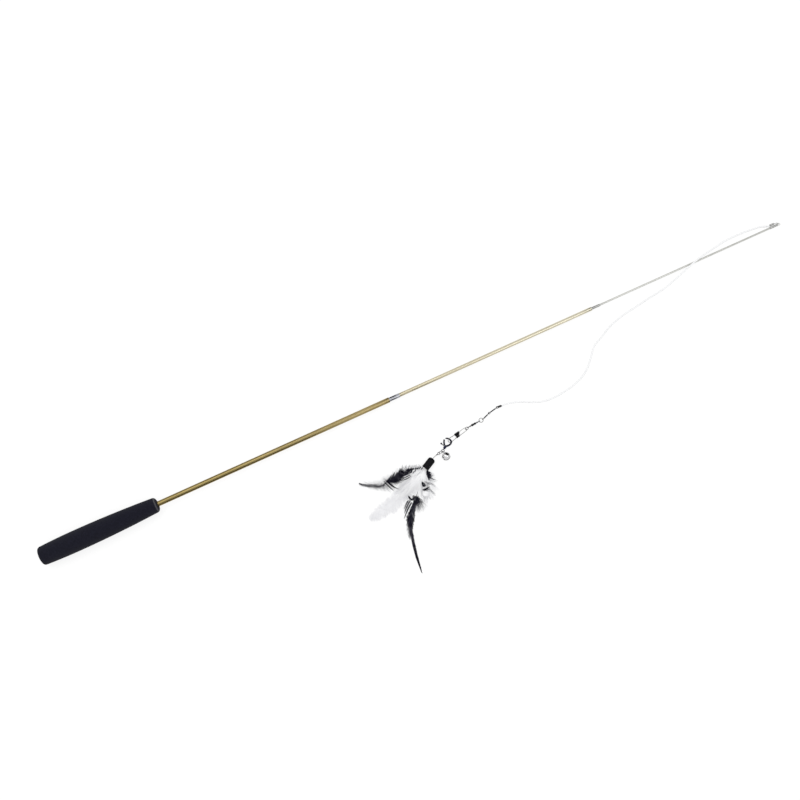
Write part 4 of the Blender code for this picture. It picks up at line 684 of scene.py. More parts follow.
def link_route(length, last_upright):
    """One wire that makes a twisted shank with an eye at each end; the first eye stands upright."""
    eye, offset, start, steps = 1.05, 0.34, 1.45, 60
    first, total = pi / 2, 4 * pi + (0.0 if last_upright else pi / 2)
    half_open = pi - radians(32.0)

    def shank(phase, shares):
        return [(start + (length - 2 * start) * t, offset * cos(first + phase + total * t),
                 offset * sin(first + phase + total * t)) for t in shares]

    def loop(centre, outward, side):
        middle, way_out = Vector((centre, 0, 0)), Vector((outward, 0, 0))
        return [tuple(p) for p in open_loop(middle, way_out, side, eye, half_open)]

    last = first + total
    return (shank(0.0, [i / steps for i in range(steps + 1)])
            + loop(length, 1, Vector((0, cos(last), sin(last))))
            + shank(pi, [1 - i / steps for i in range(steps + 1)])
            + loop(0.0, -1, -Vector((0, cos(first), sin(first)))))


def make_swivel():
    made = []
    eye = moved(ring_wire(1.35, RING_WIRE), UPRIGHT)
    neck = lathe([(1.25, 0.0), (1.25, 0.3), (5.0, 0.3), (5.0, 0.7), (6.1, 0.7), (6.1, 0.0)], 16)
    shape = merged(eye, neck, sweep(coil(1.75, 1.9, 0.52, 72, 18), 0.25, 8))
    for end, body in (("a", "swivel"), ("b", "swivel_b")):
        made.append(piece(f"swivel_wire_{end}", shape, "dark_steel", body, f"swivel_eye_{end}"))
    mouth, bore, rim, wall, length = 0.5, 0.9, 1.4, 0.7, 6.2
    outline = [(0.0, mouth), (0.0, bore), (0.3, 1.1), (wall, rim), (2 * wall, 1.2), (3.0, 1.08),
               (length - 3.2 * wall, 1.16), (length - 2 * wall, rim), (length - wall, rim),
               (length - 0.2, 1.1), (length, bore), (length, mouth), (length - wall, mouth),
               (length - wall, bore), (wall, bore), (wall, mouth)]
    barrel = turned(outline, 0.16, 40)
    made.append(piece("swivel_body", barrel, "dark_metal", "swivel_barrel", "swivel_barrel"))
    return made + [jump_ring("small_ring", 1.9, "swivel_b", "ring_2")]


def make_snap():
    near, far, straight, spread, nose, wire = 2.2, 2.8, 14.5, 5.5, 4.2, 0.4
    right = arc(near, pi, pi / 2, 12) + [(x, near) for x in np.linspace(0.0, straight, 13)[1:]]
    for t in [i / 8 for i in range(1, 8)]:
        right.append((straight + spread * t, near + (far - near) * (1 - cos(pi * t)) / 2))
    right += [(straight + spread + nose * x, far * y) for x, y in arc(1.0, pi / 2, 0, 14)]
    outline = right + [(x, -y) for x, y in reversed(right[1:-1])]
    frame_wire = sweep([(x, y, 0.0) for x, y in outline], wire, 12, closed=True)
    piece("snap_frame", frame_wire, "tip_metal", "snap", "snap_wire")
    start, end, wrap, half = 7.8, 13.4, 0.9, 0.35
    lobes = []
    for side, first, last, wide in ((1, start + 1.0, end, 1.5), (-1, start - 0.8, end + 0.3, 1.85)):
        verts, faces = turned(tube(first, last, 0.0, wrap), half, 32)
        lobe = [(x, wide * y - side * half, 0.85 * z) for x, y, z in verts], faces
        lobes.append(moved(lobe, shift(0.0, side * near)))
    piece("snap_lock", merged(*lobes), "dark_metal", "snap", "snap_plate", PLACES["snap_wire"])
    first, last = start + 0.4, end - 0.4
    web = prism([(first, -1.3), (last, -1.3), (last, 1.1), (first, 1.1)], -half, half)
    piece("snap_lock_web", web, "steel", "snap", None, PLACES["snap_wire"])


# Clasp and bell
CLASP_SECTIONS = (  # x, y, half width, half height
    (1.55, 0.0, 0.35, 0.35), (2.2, 0.0, 0.5, 0.5), (3.0, 0.0, 1.1, 0.9), (4.0, 0.0, 1.6, 1.2),
    (5.2, 0.0, 1.8, 1.3), (6.4, -0.1, 1.75, 1.3), (7.3, -0.6, 1.4, 1.2), (7.9, -1.2, 0.9, 0.9))
HOOK_ROUTE = ((6.8, -1.0), (8.8, -2.8), (11.2, -4.0), (13.6, -4.1), (15.3, -2.6), (16.0, -0.1), (15.7, 2.4),
              (14.6, 4.2))
KNOB = (0.6, 5.0)


def tapered(route, spacing, at, radii, sides):
    """A wire through (x, y) points whose radius changes at shares of its length."""
    points = smooth_route([(x, y, 0.0) for x, y in route], spacing)
    return sweep(points, np.interp(np.linspace(0, 1, len(points)), at, radii), sides)


def squared(value):
    return copysign(abs(value) ** 0.75, value)


def make_clasp():
    turns = [2 * pi * k / 32 for k in range(32)]
    sections = [[(x, y + wide * squared(cos(a)), high * squared(sin(a))) for a in turns]
                for x, y, wide, high in CLASP_SECTIONS]
    fine = []
    for a, b in zip(sections, sections[1:]):
        for t in (0.0, 0.25, 0.5, 0.75):
            fine.append([tuple(Vector(p).lerp(Vector(q), t)) for p, q in zip(a, b)])
    slot = prism([(4.4, -0.6), (10.5, -0.6), (10.5, 3.2), (4.4, 3.2)], -0.7, 0.7)
    block = cut_away(mesh_of(loft(fine + [sections[-1]])), (slot, Matrix.Identity(4)))
    hook = tapered(HOOK_ROUTE, 0.4, [0, 0.25, 0.8, 1.0], [1.2, 1.06, 0.96, 0.75], 14)
    work = bmesh.new()
    work.from_mesh(block)
    work.from_mesh(mesh_of(merged(hook, ring_wire(1.6, 0.36))))
    body = bpy.data.meshes.new("clasp")
    work.to_mesh(body)
    work.free()
    piece("clasp_hook", shaded(body), "blue_black", "clasp", "clasp_body")
    pivot = PLACES["clasp_body"] @ PLACES["clasp_pivot"]
    gate = tapered([(0, 0), (1.8, 1.6), (4.0, 3.0), (6.6, 4.1)], 0.3, [0, 0.3, 1.0], [1.1, 1.0, 0.9], 12)
    arm = tapered([(0, 0), (0.1, 2.5), KNOB], 0.3, [0, 1], [0.42, 0.42], 12)
    root = moved(turned(tube(-0.5, 0.5, 0.0, 1.3), 0.12, 32), ACROSS)
    piece("clasp_trigger", merged(root, gate, arm, moved(ball(1.05, 14, 24), shift(*KNOB))), "blue_black",
          "clasp_lever", "clasp_lever", pivot)
    rivet = moved(turned(tube(-1.35, 1.35, 0.0, 0.4), 0.15, 20), ACROSS)
    piece("clasp_rivet", rivet, "steel", "clasp", "clasp_pin", pivot)


BELL_RADIUS, BELL_WALL, BELL_SEAM, BELL_BAND = 5.0, 0.5, 0.15, 0.8
BELL_LOOP = 1.45


def half_shell(band):
    """A half shell of the bell from its rim to its pole on the x axis; the upper one has a band."""
    def bowl(radius, first):
        angles = np.linspace(asin(first / radius), pi / 2, 22)[:-1]
        return [(radius * sin(a), radius * cos(a)) for a in angles]

    points = bowl(BELL_RADIUS, BELL_SEAM + (BELL_BAND if band else 0.0)) + [(BELL_RADIUS, 0.0)]
    if band:
        edge = BELL_RADIUS + 0.15
        points = soften([(BELL_SEAM, edge), (BELL_SEAM + BELL_BAND, edge)] + points, 0.08, 2)[1:]
    inner = BELL_RADIUS - BELL_WALL
    return lathe(points + [(inner, 0.0)] + bowl(inner, BELL_SEAM)[::-1], 64)


def make_bell():
    reach = BELL_RADIUS + BELL_LOOP - RING_WIRE / 2
    loop = moved(ring_wire(BELL_LOOP, RING_WIRE), shift(reach) @ UPRIGHT)
    piece("bell_top", merged(half_shell(True), loop), "bell_metal", "bell", "bell_upper",
          PLACES["bell_lower"] @ Matrix.Rotation(pi, 4, "Z"))
    slot_half, hole, half_angle, outside = 0.5, 1.1, radians(50.0), 10.0
    spread = BELL_RADIUS * sin(half_angle)
    low = (BELL_RADIUS - BELL_WALL) * cos(half_angle) - 0.5
    slot = prism([(low, -spread), (outside, -spread), (outside, spread), (low, spread)],
                 -slot_half, slot_half)
    drill = lathe(tube(2.5, outside, 0.0, hole), 24)
    lower = cut_away(mesh_of(half_shell(False)), (slot, Matrix.Identity(4)),
                     *[(drill, Matrix.Rotation(side * half_angle, 4, "Z")) for side in (1, -1)])
    piece("bell_bottom", lower, "bell_metal", "bell", "bell_lower")
    piece("bell_pea", ball(1.4, 16, 32), "steel", "bell_ball", "bell_ball")


# Lure
CAP_LENGTH, CAP_RADIUS, CAP_HOLE, CAP_FLAT, CAP_CROWN = 14.8, 4.5, 0.8, 1.8, 3.0
CAP_BORE, CAP_BORE_DEPTH = 3.2, 11.0


def make_lure_mount():
    radius, rise, wire, two_turns = 2.35, 0.2, 0.24, 4 * pi
    turns = [(radius * cos(a), radius * sin(a), rise * sin(a / 2)) for a in np.linspace(0, two_turns, 97)]
    piece("lure_jump_ring", sweep(turns, wire, 12), "grey_metal", "lure", "ring_3")
    bore_end = CAP_LENGTH - CAP_BORE_DEPTH
    back = PLACES["lure_wire"].inverted() @ PLACES["lure_cap"]
    top, bead = [back @ Vector((x / MM, 0, 0)) * MM for x in (0, bore_end + 1.2)]
    stem = smooth_route([(1.4, 0, 0), (2.0, 0, 0), tuple(top + (top - bead) / 4), tuple(bead)], 0.5)
    wraps = coil(1.9, 1.6, 0.42, 48, 16)
    piece("lure_eye", merged(sweep(stem, 0.3), ring_wire(1.4, 0.3), sweep(wraps, 0.2, 8)),
          "dark_metal", "lure", "lure_wire")
    points = [(0.0, CAP_HOLE)]
    points += [(CAP_CROWN * (1 - x), CAP_FLAT + (CAP_RADIUS - CAP_FLAT) * y)
               for x, y in arc(1.0, 0, pi / 2, 13)]
    points += [(CAP_LENGTH, CAP_RADIUS), (CAP_LENGTH, CAP_BORE), (bore_end, CAP_BORE), (bore_end, CAP_HOLE)]
    piece("lure_cap_shell", turned(points, 0.3, 56), "gloss_black", "lure", "lure_cap")


# Feathers, in millimetres until they are made
def trace(*numbers):
    """Points at (-x, -y) from pairs of numbers: the feathers lie on the negative side of both axes."""
    return [(-x, -y) for x, y in zip(numbers[::2], numbers[1::2])]


LOWEST_BARB = 0.2


class Barbs:
    """Collects tapered strands, each a closed three-sided wire with its own tone."""

    def __init__(self, seed):
        self.rng = np.random.default_rng(seed)
        self.strands = []

    def add(self, paths, width, tone, flat):
        """paths has the shape (strands, points, 3); width and tone go to each point."""
        shape = paths.shape[:2]
        tone = np.clip(np.broadcast_to(tone, shape), 0.0, 1.0)
        self.strands.append((paths, np.broadcast_to(width, shape), tone, flat))

    def comb(self, roots, tips, count, width, tone, z, bend=0.1, spread=(0.4, 0.8), curl=0.03,
             reach=(0.8, 1.05), steps=7, taper=0.25, lift=0.3, flat=0.35, jitter=0.06, rise=0.0,
             locks=0, pull=0.75, lock_tone=0.06):
        """Strands from a root route to a tip route. tone and z are (root, tip); bend bows the strands
        sideways; locks gathers them at shared tips, each lock with its own reach and tone."""
        rng = self.rng
        t = (np.arange(count) + rng.random(count)) / count
        goal, share, shade = t + rng.normal(0, 0.02, count), rng.uniform(*reach, count), 0.0
        if locks:
            owner = np.minimum((t * locks).astype(int), locks - 1)
            middle = (np.arange(locks) + rng.uniform(0.2, 0.8, locks)) / locks
            goal += (middle[owner] - goal) * pull
            share = rng.uniform(*reach, locks)[owner] * rng.uniform(0.82, 1.0, count)
            shade = rng.normal(0, lock_tone, locks)[owner]
        a, b = resample(roots, t + rng.normal(0, 0.01, count)), resample(tips, goal)
        a, b = [np.column_stack([p[:, :2] + rng.normal(0, wide, (count, 2)),
                                 height + rng.normal(0, high, count)])
                for p, wide, height, high in ((a, spread[0], z[0], lift / 2), (b, spread[1], z[1], lift))]
        way = (b - a) * share[:, None]
        side = np.stack([-way[:, 1], way[:, 0], np.zeros(count)], 1)
        s = np.linspace(0, 1, steps)
        bow = (bend + rng.normal(0, curl, count))[:, None] * np.sin(pi * s)
        wave = rng.normal(0, curl, count)[:, None] * np.sin(2 * pi * s)
        paths = a[:, None] + way[:, None] * s[None, :, None] + side[:, None] * (bow + wave)[..., None]
        paths[:, :, 2] = np.maximum(paths[:, :, 2] + rise * np.sin(pi * s), LOWEST_BARB)
        widths = width * rng.uniform(0.7, 1.2, count)[:, None] * (1 - (1 - taper) * s)
        tones = tone[0] + (tone[1] - tone[0]) * s + (shade + rng.normal(0, jitter, count))[:, None]
        self.add(paths, widths, tones, flat)

    def lock(self, route, z, widths, tones, count=9, strand=0.42, flat=0.5):
        """Strands side by side along a route, over a width and with a tone that change on the way."""
        rng, s = self.rng, np.linspace(0, 1, 31)
        pts = smooth_route([(*p, 0.0) for p in route], count=30)
        pts[:, 2], wide, tone = [np.interp(s, np.linspace(0, 1, len(v)), v) for v in (z, widths, tones)]
        way = np.gradient(pts, axis=0)
        side = np.stack([-way[:, 1], way[:, 0], 0 * s], 1) / np.linalg.norm(way[:, :2], axis=1)[:, None]
        across = np.linspace(-0.5, 0.5, count) + rng.normal(0, 0.04, count) if count > 1 else np.zeros(1)
        paths = pts[None] + side[None] * (across[:, None] * wide[None])[..., None]
        paths[:, :, 2] += rng.normal(0, 0.12, count)[:, None]
        width = np.minimum(strand, 0.35 * wide + 0.12) if count > 1 else wide
        self.add(paths, width[None] * rng.uniform(0.85, 1.15, count)[:, None],
                 tone[None] + rng.normal(0, 0.04, count)[:, None], flat)

    def dabs(self, centres, step, count, z, tone=0.0, width=0.5):
        """Small tufts of short barbs, each laid along the same step."""
        for x, y in centres:
            tip = (x + step[0], y + step[1])
            self.comb([(x - 0.6, y - 0.4), (x + 0.6, y + 0.4)], [tip, (tip[0] + 0.5, tip[1])], count, width,
                      (tone, tone + 0.08), (z, z), 0.05, (0.3, 0.3), steps=5)

    def make(self, name, slot, node=None):
        verts, faces, tones = [], [], []
        angles = np.radians([90.0, 210.0, 330.0])[:, None]
        first = 0
        for paths, widths, tone, flat in self.strands:
            n, m = paths.shape[:2]
            tangent = np.gradient(paths, axis=1)
            tangent /= np.linalg.norm(tangent, axis=2)[..., None] + 1e-12
            side = np.cross(tangent, (0.0, 0.0, 1.0))
            side /= np.linalg.norm(side, axis=2)[..., None] + 1e-12
            up = np.cross(side, tangent)[:, :, None]
            ring = paths[:, :, None] + widths[:, :, None, None] / 2 * (
                np.cos(angles) * side[:, :, None] + flat * np.sin(angles) * up)
            verts.append(ring.reshape(-1, 3) / MM)
            tones.append(np.repeat(tone.reshape(-1), 3))
            strand = skin(m, 3)
            faces += [[start + i for i in face] for start in range(first, first + n * m * 3, m * 3)
                      for face in strand]
            first += n * m * 3
        mesh = bpy.data.meshes.new(name)
        mesh.from_pydata(np.concatenate(verts).tolist(), [], faces)
        turn_outward(mesh)
        if slot == "feather_dark":
            mesh.shade_smooth()
        layer = mesh.attributes.new("tone", "FLOAT", "POINT")
        layer.data.foreach_set("value", np.concatenate(tones).astype(np.float32))
        piece(name, mesh, slot, "lure", node)


def make_hackle():
    b = Barbs(11)
    spine = trace(36, 93, 40, 89.2, 45, 88, 51, 87.3, 55.4, 87.3, 61.1, 88, 65.2, 88.6, 69.3, 89.4, 73.4,
        89.9, 77.4, 89.4, 82.3, 86.9, 85.7, 88.4, 88.9, 89.5)
    streak = trace(86.8, 89.6, 91.4, 89.2, 94.6, 87.8, 98, 85.8, 101.9, 83.6, 105, 82.2, 108.3, 80, 111.2,
        77.8, 114, 75.2)
    b.lock(spine, (4.6, 3.4, 2.6, 2.3, 2.1, 1.7), (0.8, 0.7, 0.6, 0.5), (0.05,), 1)
    mid = spine[5:11]
    up = trace(58.6, 84, 62.3, 83, 65.8, 82.8, 70, 84.8, 74.8, 86.5, 79, 87.1, 85, 86.8)
    low = trace(61.1, 91, 65.5, 93, 69.6, 93.4, 74, 92.8, 78, 91.4, 81.2, 90, 84.6, 88)
    b.comb(mid, up, 900, 0.5, (0.0, 0.03), (2.5, 2.4), 0.1, (0.6, 0.35), reach=(0.86, 1.12), locks=20,
        lock_tone=0.12)
    b.comb(mid, low, 900, 0.5, (0.0, 0.04), (3.2, 3.0), -0.1, (0.6, 0.35), reach=(0.84, 1.1), locks=18,
        lock_tone=0.14)
    b.comb(trace(47, 87.8, 51, 87.3, 56, 87.3, 62, 88.3), trace(50, 84.6, 54.4, 83.8, 60, 83.2, 65.6, 81.6),
        110, 0.42, (0.0, 0.04), (4.0, 3.4), 0.1, (0.5, 0.4), reach=(0.7, 1.25), locks=11, pull=0.95,
        lock_tone=0.3)
    b.comb(trace(50, 87.8, 55, 87.5, 60, 88), trace(55, 91.4, 60, 93, 65.5, 94.8), 110, 0.42, (0.0, 0.04),
        (4.0, 3.6), -0.1, (0.5, 0.4), reach=(0.5, 1.0), locks=9, pull=0.95, lock_tone=0.3)
    spikes = trace(60.5, 81.2, 65.6, 80.2, 69.3, 82, 73.2, 83.6, 78, 84.6)
    b.comb(mid[1:6], spikes, 260, 0.36, (0.02, 0.3), (2.6, 2.7), 0.06, (0.6, 0.3), reach=(0.6, 1.35),
        locks=13, pull=0.9)
    halo = trace(56, 79.6, 62, 77.6, 66, 76.6, 71, 78, 75.8, 79.3, 81.5, 80, 87, 79.9, 93, 78.6, 101, 77.4,
        108.7, 75.9)
    b.comb(mid + streak[:5], halo, 560, 0.12, (0.5, 1.0), (2.2, 2.4), 0.12, (0.5, 1.0), 0.05, (0.55, 1.15),
        jitter=0.12, locks=44, pull=0.75, lock_tone=0.15)
    soft_low = trace(71, 96, 77.7, 102, 83, 102.6, 88, 99.6, 92.5, 96.2, 98.5, 91.4, 103, 87.2, 107.7, 83,
        111.3, 79.3)
    b.comb(spine[7:11] + streak, soft_low, 620, 0.13, (0.35, 0.95), (1.8, 1.2), -0.12, (0.5, 1.2), 0.05,
        (0.6, 1.08), jitter=0.14, locks=50, pull=0.5, lock_tone=0.12)
    b.comb(mid[1:5], trace(58.5, 97, 62.5, 98.4, 67.9, 97.4, 73.5, 95.6), 150, 0.3, (0.1, 0.6), (2.6, 2.6),
        -0.05, (0.5, 0.5), reach=(0.7, 1.0), locks=14, lock_tone=0.15)
    b.lock(streak, (1.9, 1.8, 1.6, 1.4), (1.5, 2.2, 2.4, 1.9, 1.5, 1.1, 0.8, 0.4),
        (0.12, 0.0, 0.0, 0.05, 0.3, 0.4, 0.42, 0.5), 15)
    b.lock([(x - 0.4, y - 1.3) for x, y in streak[1:]], (1.5, 1.3), (0.6, 1.3, 1.6, 1.2, 0.3),
        (0.4, 0.45, 0.5, 0.6), 8, 0.3)
    first = trace(83.8, 85.3, 82.8, 88.1, 81.3, 90.8, 79.8, 93.5, 78.1, 96.7, 76, 99.3, 73.6, 101.5)
    second = trace(85.7, 85.4, 84.7, 88.6, 83.6, 92.6, 82.2, 96.3, 80.1, 100.7)
    pale = trace(85.4, 84.2, 84.2, 87.4, 82.8, 90.8, 81.2, 94, 79.4, 97.6)
    b.lock(first, (2.9, 3.2, 2.9), (0.5, 1.3, 1.9, 1.6, 1.1, 0.6, 0.2), (0.02, 0.0, 0.05, 0.2), 9)
    b.lock(second, (2.9, 3.0, 2.6), (0.3, 0.8, 1.0, 0.7, 0.2), (0.05, 0.05, 0.2), 5)
    b.lock(pale, (2.9, 3.1, 2.8), (0.4, 0.7, 0.7, 0.5, 0.2), (1.0,), 4)
    b.lock(trace(82.3, 86.9, 84.2, 87.5, 85.7, 88.4, 87.6, 89.4), (2.2, 2.0), (1.2, 0.9, 1.2), (0.05,), 6)
    b.make("hackle_feather", "feather_dark", "feather_hackle")


def make_plume():
    b = Barbs(23)
    spine = trace(38.3, 92.7, 49.6, 98.4, 62.7, 103.9, 75.3, 108.6, 87.7, 112.7, 99.9, 116.1, 109.7, 118,
        118.1, 119)
    b.lock(spine, (3.0, 1.6, 1.0, 0.8, 0.7), (0.8, 0.6, 0.3, 0.2), (0.1,), 1)
    left = trace(60, 97.2, 75.8, 99.6, 85.8, 102.4, 95.6, 105, 104.5, 107.9, 113, 111.2, 119.2, 115, 121,
        118.4)
    right = trace(60, 117, 70, 119.8, 78.3, 123.4, 86.9, 126, 96.1, 127.4, 104, 127.8, 112.4, 127, 118.6, 124,
        121, 120.4)
    for edge, side in ((left, 1), (right, -1)):
        b.comb(spine[1:], edge, 700, 0.5, (0.40, 0.36), (0.9, 0.7), 0.14 * side, (0.5, 0.7), 0.02,
            (0.62, 1.0), flat=0.12, lift=0.1, jitter=0.02, locks=46, pull=0.35, lock_tone=0.04)
        b.comb(spine[1:], edge, 380, 0.12, (0.22, 0.18), (1.0, 0.8), 0.14 * side, (1.0, 1.4), 0.06,
            (0.85, 1.12), lift=0.2, jitter=0.02, locks=60, pull=0.4)
    b.make("plume_feather", "feather_white", "feather_plume")


def make_long():
    b = Barbs(37)
    blade = trace(78.6, 144.5, 79.8, 148.7, 81, 153, 82.5, 158.7, 84, 164.4, 85.3, 170.2, 86.4, 176.1, 87.6,
        183, 88.4, 189.3, 89.2, 196.1, 89.9, 201.5)
    mid = trace(61.5, 121.5, 63.9, 124.8, 66.8, 127.9, 69.6, 131.2, 72.2, 134.5, 74.7, 137.6, 76.9, 140.9,
        78.6, 144.5)
    b.lock(trace(38, 97, 46, 105, 53, 112) + mid + blade[1:], (5.2, 3.0, 2.4, 1.8, 1.2, 0.8, 0.7),
        (0.8, 0.7, 0.5, 0.3, 0.15), (0.05,), 1)
    left = trace(64.6, 123.2, 67.5, 125.6, 71.5, 128.9, 75.4, 132, 78.3, 134.9, 81, 138.5, 81.5, 143.6, 81.6,
        149.4)
    right = trace(61.8, 125.5, 63.8, 128.2, 66.2, 132, 68.4, 135.2, 70.4, 139, 73, 143.2, 75.9, 147.4, 79.2,
        151.5)
    b.comb(mid, left, 900, 0.5, (0.12, 0.26), (2.3, 2.0), 0.08, (0.6, 0.3), reach=(0.95, 1.16), locks=14,
        lock_tone=0.12)
    b.comb(mid, right, 900, 0.5, (0.14, 0.32), (2.3, 2.0), -0.08, (0.6, 0.3), reach=(0.95, 1.16), locks=14,
        lock_tone=0.12)
    wide = (3.4, 3.1, 3.0, 3.2, 3.3, 3.2, 3.0, 2.8, 2.3, 1.5, 0.4)
    b.lock(blade, (1.9, 1.5, 1.2, 0.9, 0.8), wide, (0.34, 0.3, 0.2, 0.1, 0.08), 21, 0.4)
    out_left = [(x - w * 0.62, y - 1.5) for (x, y), w in zip(blade, wide)]
    out_right = [(x + w * 0.62, y - 2.2) for (x, y), w in zip(blade, wide)]
    for side, edge in ((1, out_left), (-1, out_right)):
        b.comb(blade, edge, 330, 0.36, (0.0, 0.14), (1.3, 1.0), 0.1 * side, (0.2, 0.15), reach=(0.7, 1.1),
            locks=30)
    base = trace(64.9, 119.5, 66.5, 121.5, 65.9, 124.5, 64.1, 127.2, 61.3, 127.4, 57.9, 126, 55.9, 123.5)
    b.comb(trace(61.8, 116.9, 59.7, 118.2, 57.9, 120.1), base, 230, 0.42, (0.0, 0.2), (3.6, 2.9), 0.0,
        (0.9, 0.4), 0.05, (0.5, 1.15), locks=13, pull=0.9, lock_tone=0.25)
    b.lock(trace(66.9, 113.4, 66.6, 115.7, 66.1, 117.8, 64.6, 120.2), (3.8, 3.4), (0.3, 1.8, 1.7, 1.3),
        (0.0,), 9)
    b.lock(trace(64.2, 118.2, 62.8, 117.2, 61.8, 116.4), (4.2, 4.2), (0.3, 0.8, 0.3), (0.8,), 4)
    slit = trace(64.4, 122, 67.4, 124.4, 70.7, 126.6, 74.6, 129.7, 78.2, 132.8, 82, 136.6)
    b.lock(slit, (3.0, 2.7, 2.4), (0.3, 0.4, 0.5, 0.5, 0.4, 0.2), (1.0,), 3, 0.3)
    for route, width, tone in (
            (trace(66.5, 122.2, 71.6, 125.7, 75.2, 128.8, 78.9, 132.3, 82.8, 136), 1.3, 0.02),
            (trace(68.2, 120.3, 71, 122.2, 73.8, 124.6, 76.6, 127.1, 80, 130.6), 1.1, 0.02),
            (trace(70, 118.8, 72.3, 120.6, 74.5, 122.7, 77.6, 125.8), 0.8, 0.08),
            (trace(67.1, 121.3, 70.9, 123.9, 74.4, 126.8, 78.4, 130.4), 0.4, 0.9),
            (trace(69, 119.4, 73, 122.4, 77.4, 126.4), 0.4, 0.9)):
        b.lock(route, (2.7, 2.5, 2.0), (width * 0.8, width, width * 0.8, 0.15), (tone, tone + 0.1), 5)
    b.comb(trace(66, 118.5, 69, 119, 70.5, 120), trace(80.5, 133, 80, 127.5, 77.5, 123), 60, 0.14, (0.2, 0.7),
        (2.6, 1.8), 0.03, (0.8, 1.0), 0.06)
    b.comb(trace(77.4, 137, 79.6, 141, 80.6, 146, 82, 151, 84, 157),
        trace(82.8, 140.5, 85.1, 147.5, 86.6, 153.5, 87.6, 159, 88.2, 164), 330, 0.15, (0.2, 0.75),
        (1.7, 1.2), 0.08, (0.3, 0.5), 0.04, (0.7, 1.1), jitter=0.1, locks=22, pull=0.7, lock_tone=0.12)
    hairs = trace(67.6, 137.7, 64.1, 138.2, 60.3, 138, 56.8, 135.4, 53, 132.4, 49.5, 131)
    b.comb(trace(62.8, 124.5, 60, 124, 57, 122), hairs, 260, 0.15, (0.1, 0.7), (2.8, 2.0), 0.04, (0.8, 1.0),
        0.06, (0.5, 1.35), jitter=0.12, locks=20, pull=0.9, lock_tone=0.15)
    b.make("long_feather", "feather_dark", "feather_long")


def make_tuft():
    b = Barbs(41)
    outline = trace(36.6, 89.6, 41.3, 87.6, 45.9, 88.4, 50.7, 91.4, 54.8, 94.4, 60.2, 96.8, 65.8, 98.6, 71.2,
        99.6, 76.3, 100.6, 80.9, 102.4, 81.6, 107.6, 78.2, 113.5, 72.4, 115.4, 66.9, 115.2, 62.1, 118.5, 57.5,
        122.2, 53.1, 124.4, 47, 123.2, 42.2, 119.6, 39.2, 113.9, 37, 108.3, 35.6, 102.6, 34.8, 98)
    root = trace(35.4, 91, 37.2, 90.4, 39, 90.9, 39.3, 92.9, 37.4, 95.5, 35.4, 96.2)
    heart = (-38.0, -93.5)
    # Each lock of down gets its own tone, spread widely by lock_tone: the darker locks are painted shade, the
    # streaks of shadow between the locks.
    for share, width, height, locks in ((1.08, 0.42, 3.6, 60), (0.84, 0.4, 4.4, 40), (0.55, 0.38, 5.2, 26)):
        tips = [(heart[0] + (x - heart[0]) * share, heart[1] + (y - heart[1]) * share) for x, y in outline]
        b.comb(root, tips, 1000, width, (-0.15, -0.2), (4.9, height - 1.8), 0.03, (1.4, 0.9), 0.04,
            (0.74, 1.0), rise=1.2, lift=0.3, jitter=0.05, flat=0.1, locks=locks, pull=0.8, lock_tone=0.5)
    b.comb(root, outline, 700, 0.12, (0.1, 0.35), (4.9, 2.4), 0.0, (1.4, 1.8), 0.07, (0.85, 1.14), rise=1.2,
        lift=0.5, jitter=0.12, locks=90, pull=0.4, lock_tone=0.15)
    right = trace(30, 99.5, 28.6, 105.5, 28.2, 111.5, 31, 117.6, 34.7, 124, 39.9, 127.4, 45, 130.4, 50, 131.6,
        54.6, 131.4)
    b.comb(trace(35.4, 97.5, 37, 104.1, 40, 109.3, 42.9, 114.5, 46.7, 119.2, 50.6, 121.8), right, 620, 0.24,
        (0.1, 0.6), (4.6, 3.0), 0.06, (0.9, 0.8), 0.05, (0.5, 1.28), rise=0.9, lift=0.6, jitter=0.14,
        locks=30, pull=0.95, lock_tone=0.4)
    hairs = trace(38, 86.4, 41.2, 83.6, 44.7, 81.6, 48.4, 80.2, 52.2, 79, 56, 77.8, 60, 77)
    b.comb(trace(38.9, 89.4, 44.4, 88, 50.2, 87, 57, 86.4, 63.5, 85.4), hairs, 260, 0.2, (0.7, 0.9),
        (1.6, 1.8), 0.05, (0.6, 0.6), 0.05, (0.5, 1.15), locks=26, pull=0.9, lock_tone=0.2)
    b.comb(trace(48.1, 116.4, 50.7, 119.6), trace(38.3, 120.4, 40.4, 124, 45.6, 127), 90, 0.4, (0.02, 0.08),
        (6.2, 4.4), 0.04, (0.5, 0.6), reach=(0.8, 1.05), flat=0.22, locks=8)
    b.make("down_fluff", "feather_white", "down_tuft")


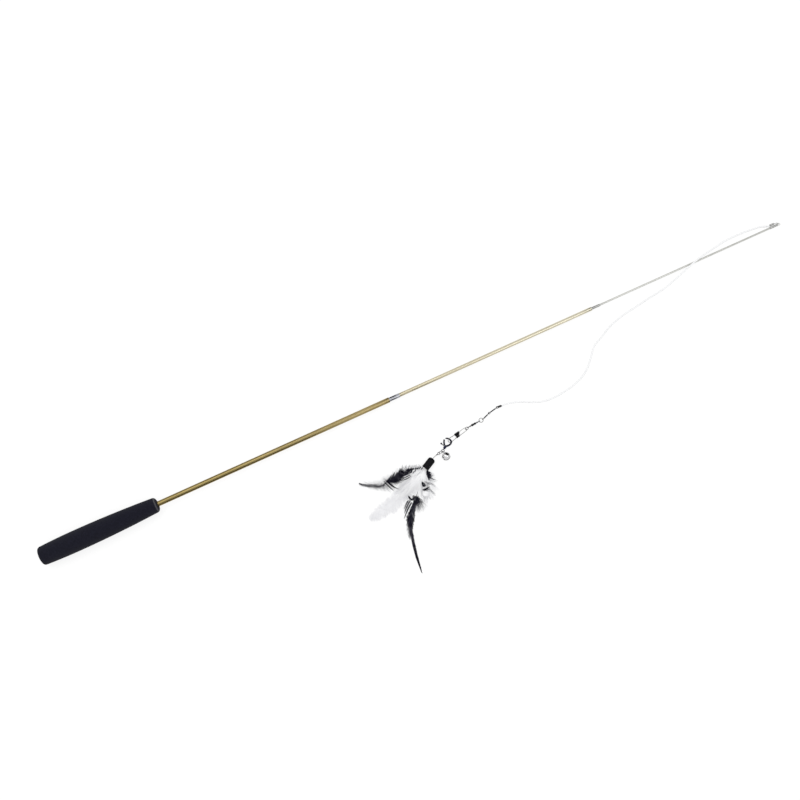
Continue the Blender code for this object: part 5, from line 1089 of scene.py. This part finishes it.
def make_dark_spots():
    """Short dark barbs in the down: beside the cap's mouth, along its upper edge and over its right side."""
    b = Barbs(53)
    b.lock(trace(33.9, 95.4, 34.9, 99, 35.4, 102.4, 36.9, 106.8), (7.2, 7.4, 7.0), (1.6, 3.0, 3.4, 2.6, 0.4),
        (0.0, 0.0, 0.05), 16)
    b.comb(trace(33.9, 97, 34.6, 101, 35.4, 105), trace(31, 99, 31.2, 103.4, 31.8, 108.4), 80, 0.34,
        (0.0, 0.2), (7.0, 6.0), 0.04, (0.3, 0.3), reach=(0.5, 1.1), locks=8)
    b.lock(trace(45.4, 105.3, 45.2, 108.2, 44.6, 111.9), (8.4, 8.6, 8.2), (0.3, 2.0, 3.3, 3.9, 2.2),
        (0.0, 0.0, 0.06), 15)
    b.lock(trace(48.8, 114.3, 46.4, 115.2, 44, 115.2, 41.2, 114.6), (8.0, 8.0, 7.6), (0.8, 2.4, 2.0, 0.3),
        (0.0, 0.04), 10)
    b.lock(trace(49, 112.9, 46, 112.9, 42.4, 113.2), (8.8, 8.9, 8.4), (0.4, 1.0, 0.7), (1.0,), 5)
    b.comb(trace(43, 106, 41, 110, 43, 114.5, 44.5, 118), trace(37, 108.6, 37, 112, 38.4, 117.4, 40.6, 122),
        26, 0.3, (0.02, 0.4), (7.4, 5.4), 0.05, (0.4, 0.3), reach=(0.4, 1.1), locks=8, pull=0.95,
        lock_tone=0.15)
    b.dabs(trace(38, 90.6, 40.2, 88.8, 42.6, 88.4, 45, 87.8), (-1.9, -1.1), 40, 8.0, width=0.65)
    b.dabs(trace(48.4, 87, 51.2, 86.2, 53.6, 84.8, 51.4, 89, 55.4, 86.6), (-2.3, -1.2), 44, 7.0, 0.02, 0.7)
    b.dabs(trace(46.6, 89.8, 49.4, 90.6, 57, 89), (-1.8, -0.8), 20, 7.0, 0.2, 0.4)
    for drop, tone in ((0.0, 0.12), (1.1, 0.95), (2.2, 0.15), (3.2, 0.9), (4.2, 0.3)):
        b.lock([(-62 - 0.3 * drop, -90.2 - drop), (-58 - 0.2 * drop, -90.1 - drop),
            (-54.6, -90.6 - 0.8 * drop)], (5.6, 6.6, 7.2), (0.6, 1.1, 0.5), (tone, tone + 0.1), 5)
    b.make("dark_flecks", "feather_dark")


def main():
    add_camera()
    make_looks()
    add_stage()
    make_cord([make_tip_crimp()] + make_leader() + make_swivel())
    for make in (make_grip, make_wand, make_snap, make_clasp, make_bell, make_lure_mount, make_hackle,
                 make_plume, make_long, make_tuft, make_dark_spots):
        make()
    for name, look in (("tube_1_end_plug", "plastic"), ("tube_2_bush", "bush"), ("rod_3_bush", "bush"),
                       ("clasp_spring", "steel")):
        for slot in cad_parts[name].material_slots:
            slot.material = LOOKS[look]


main()
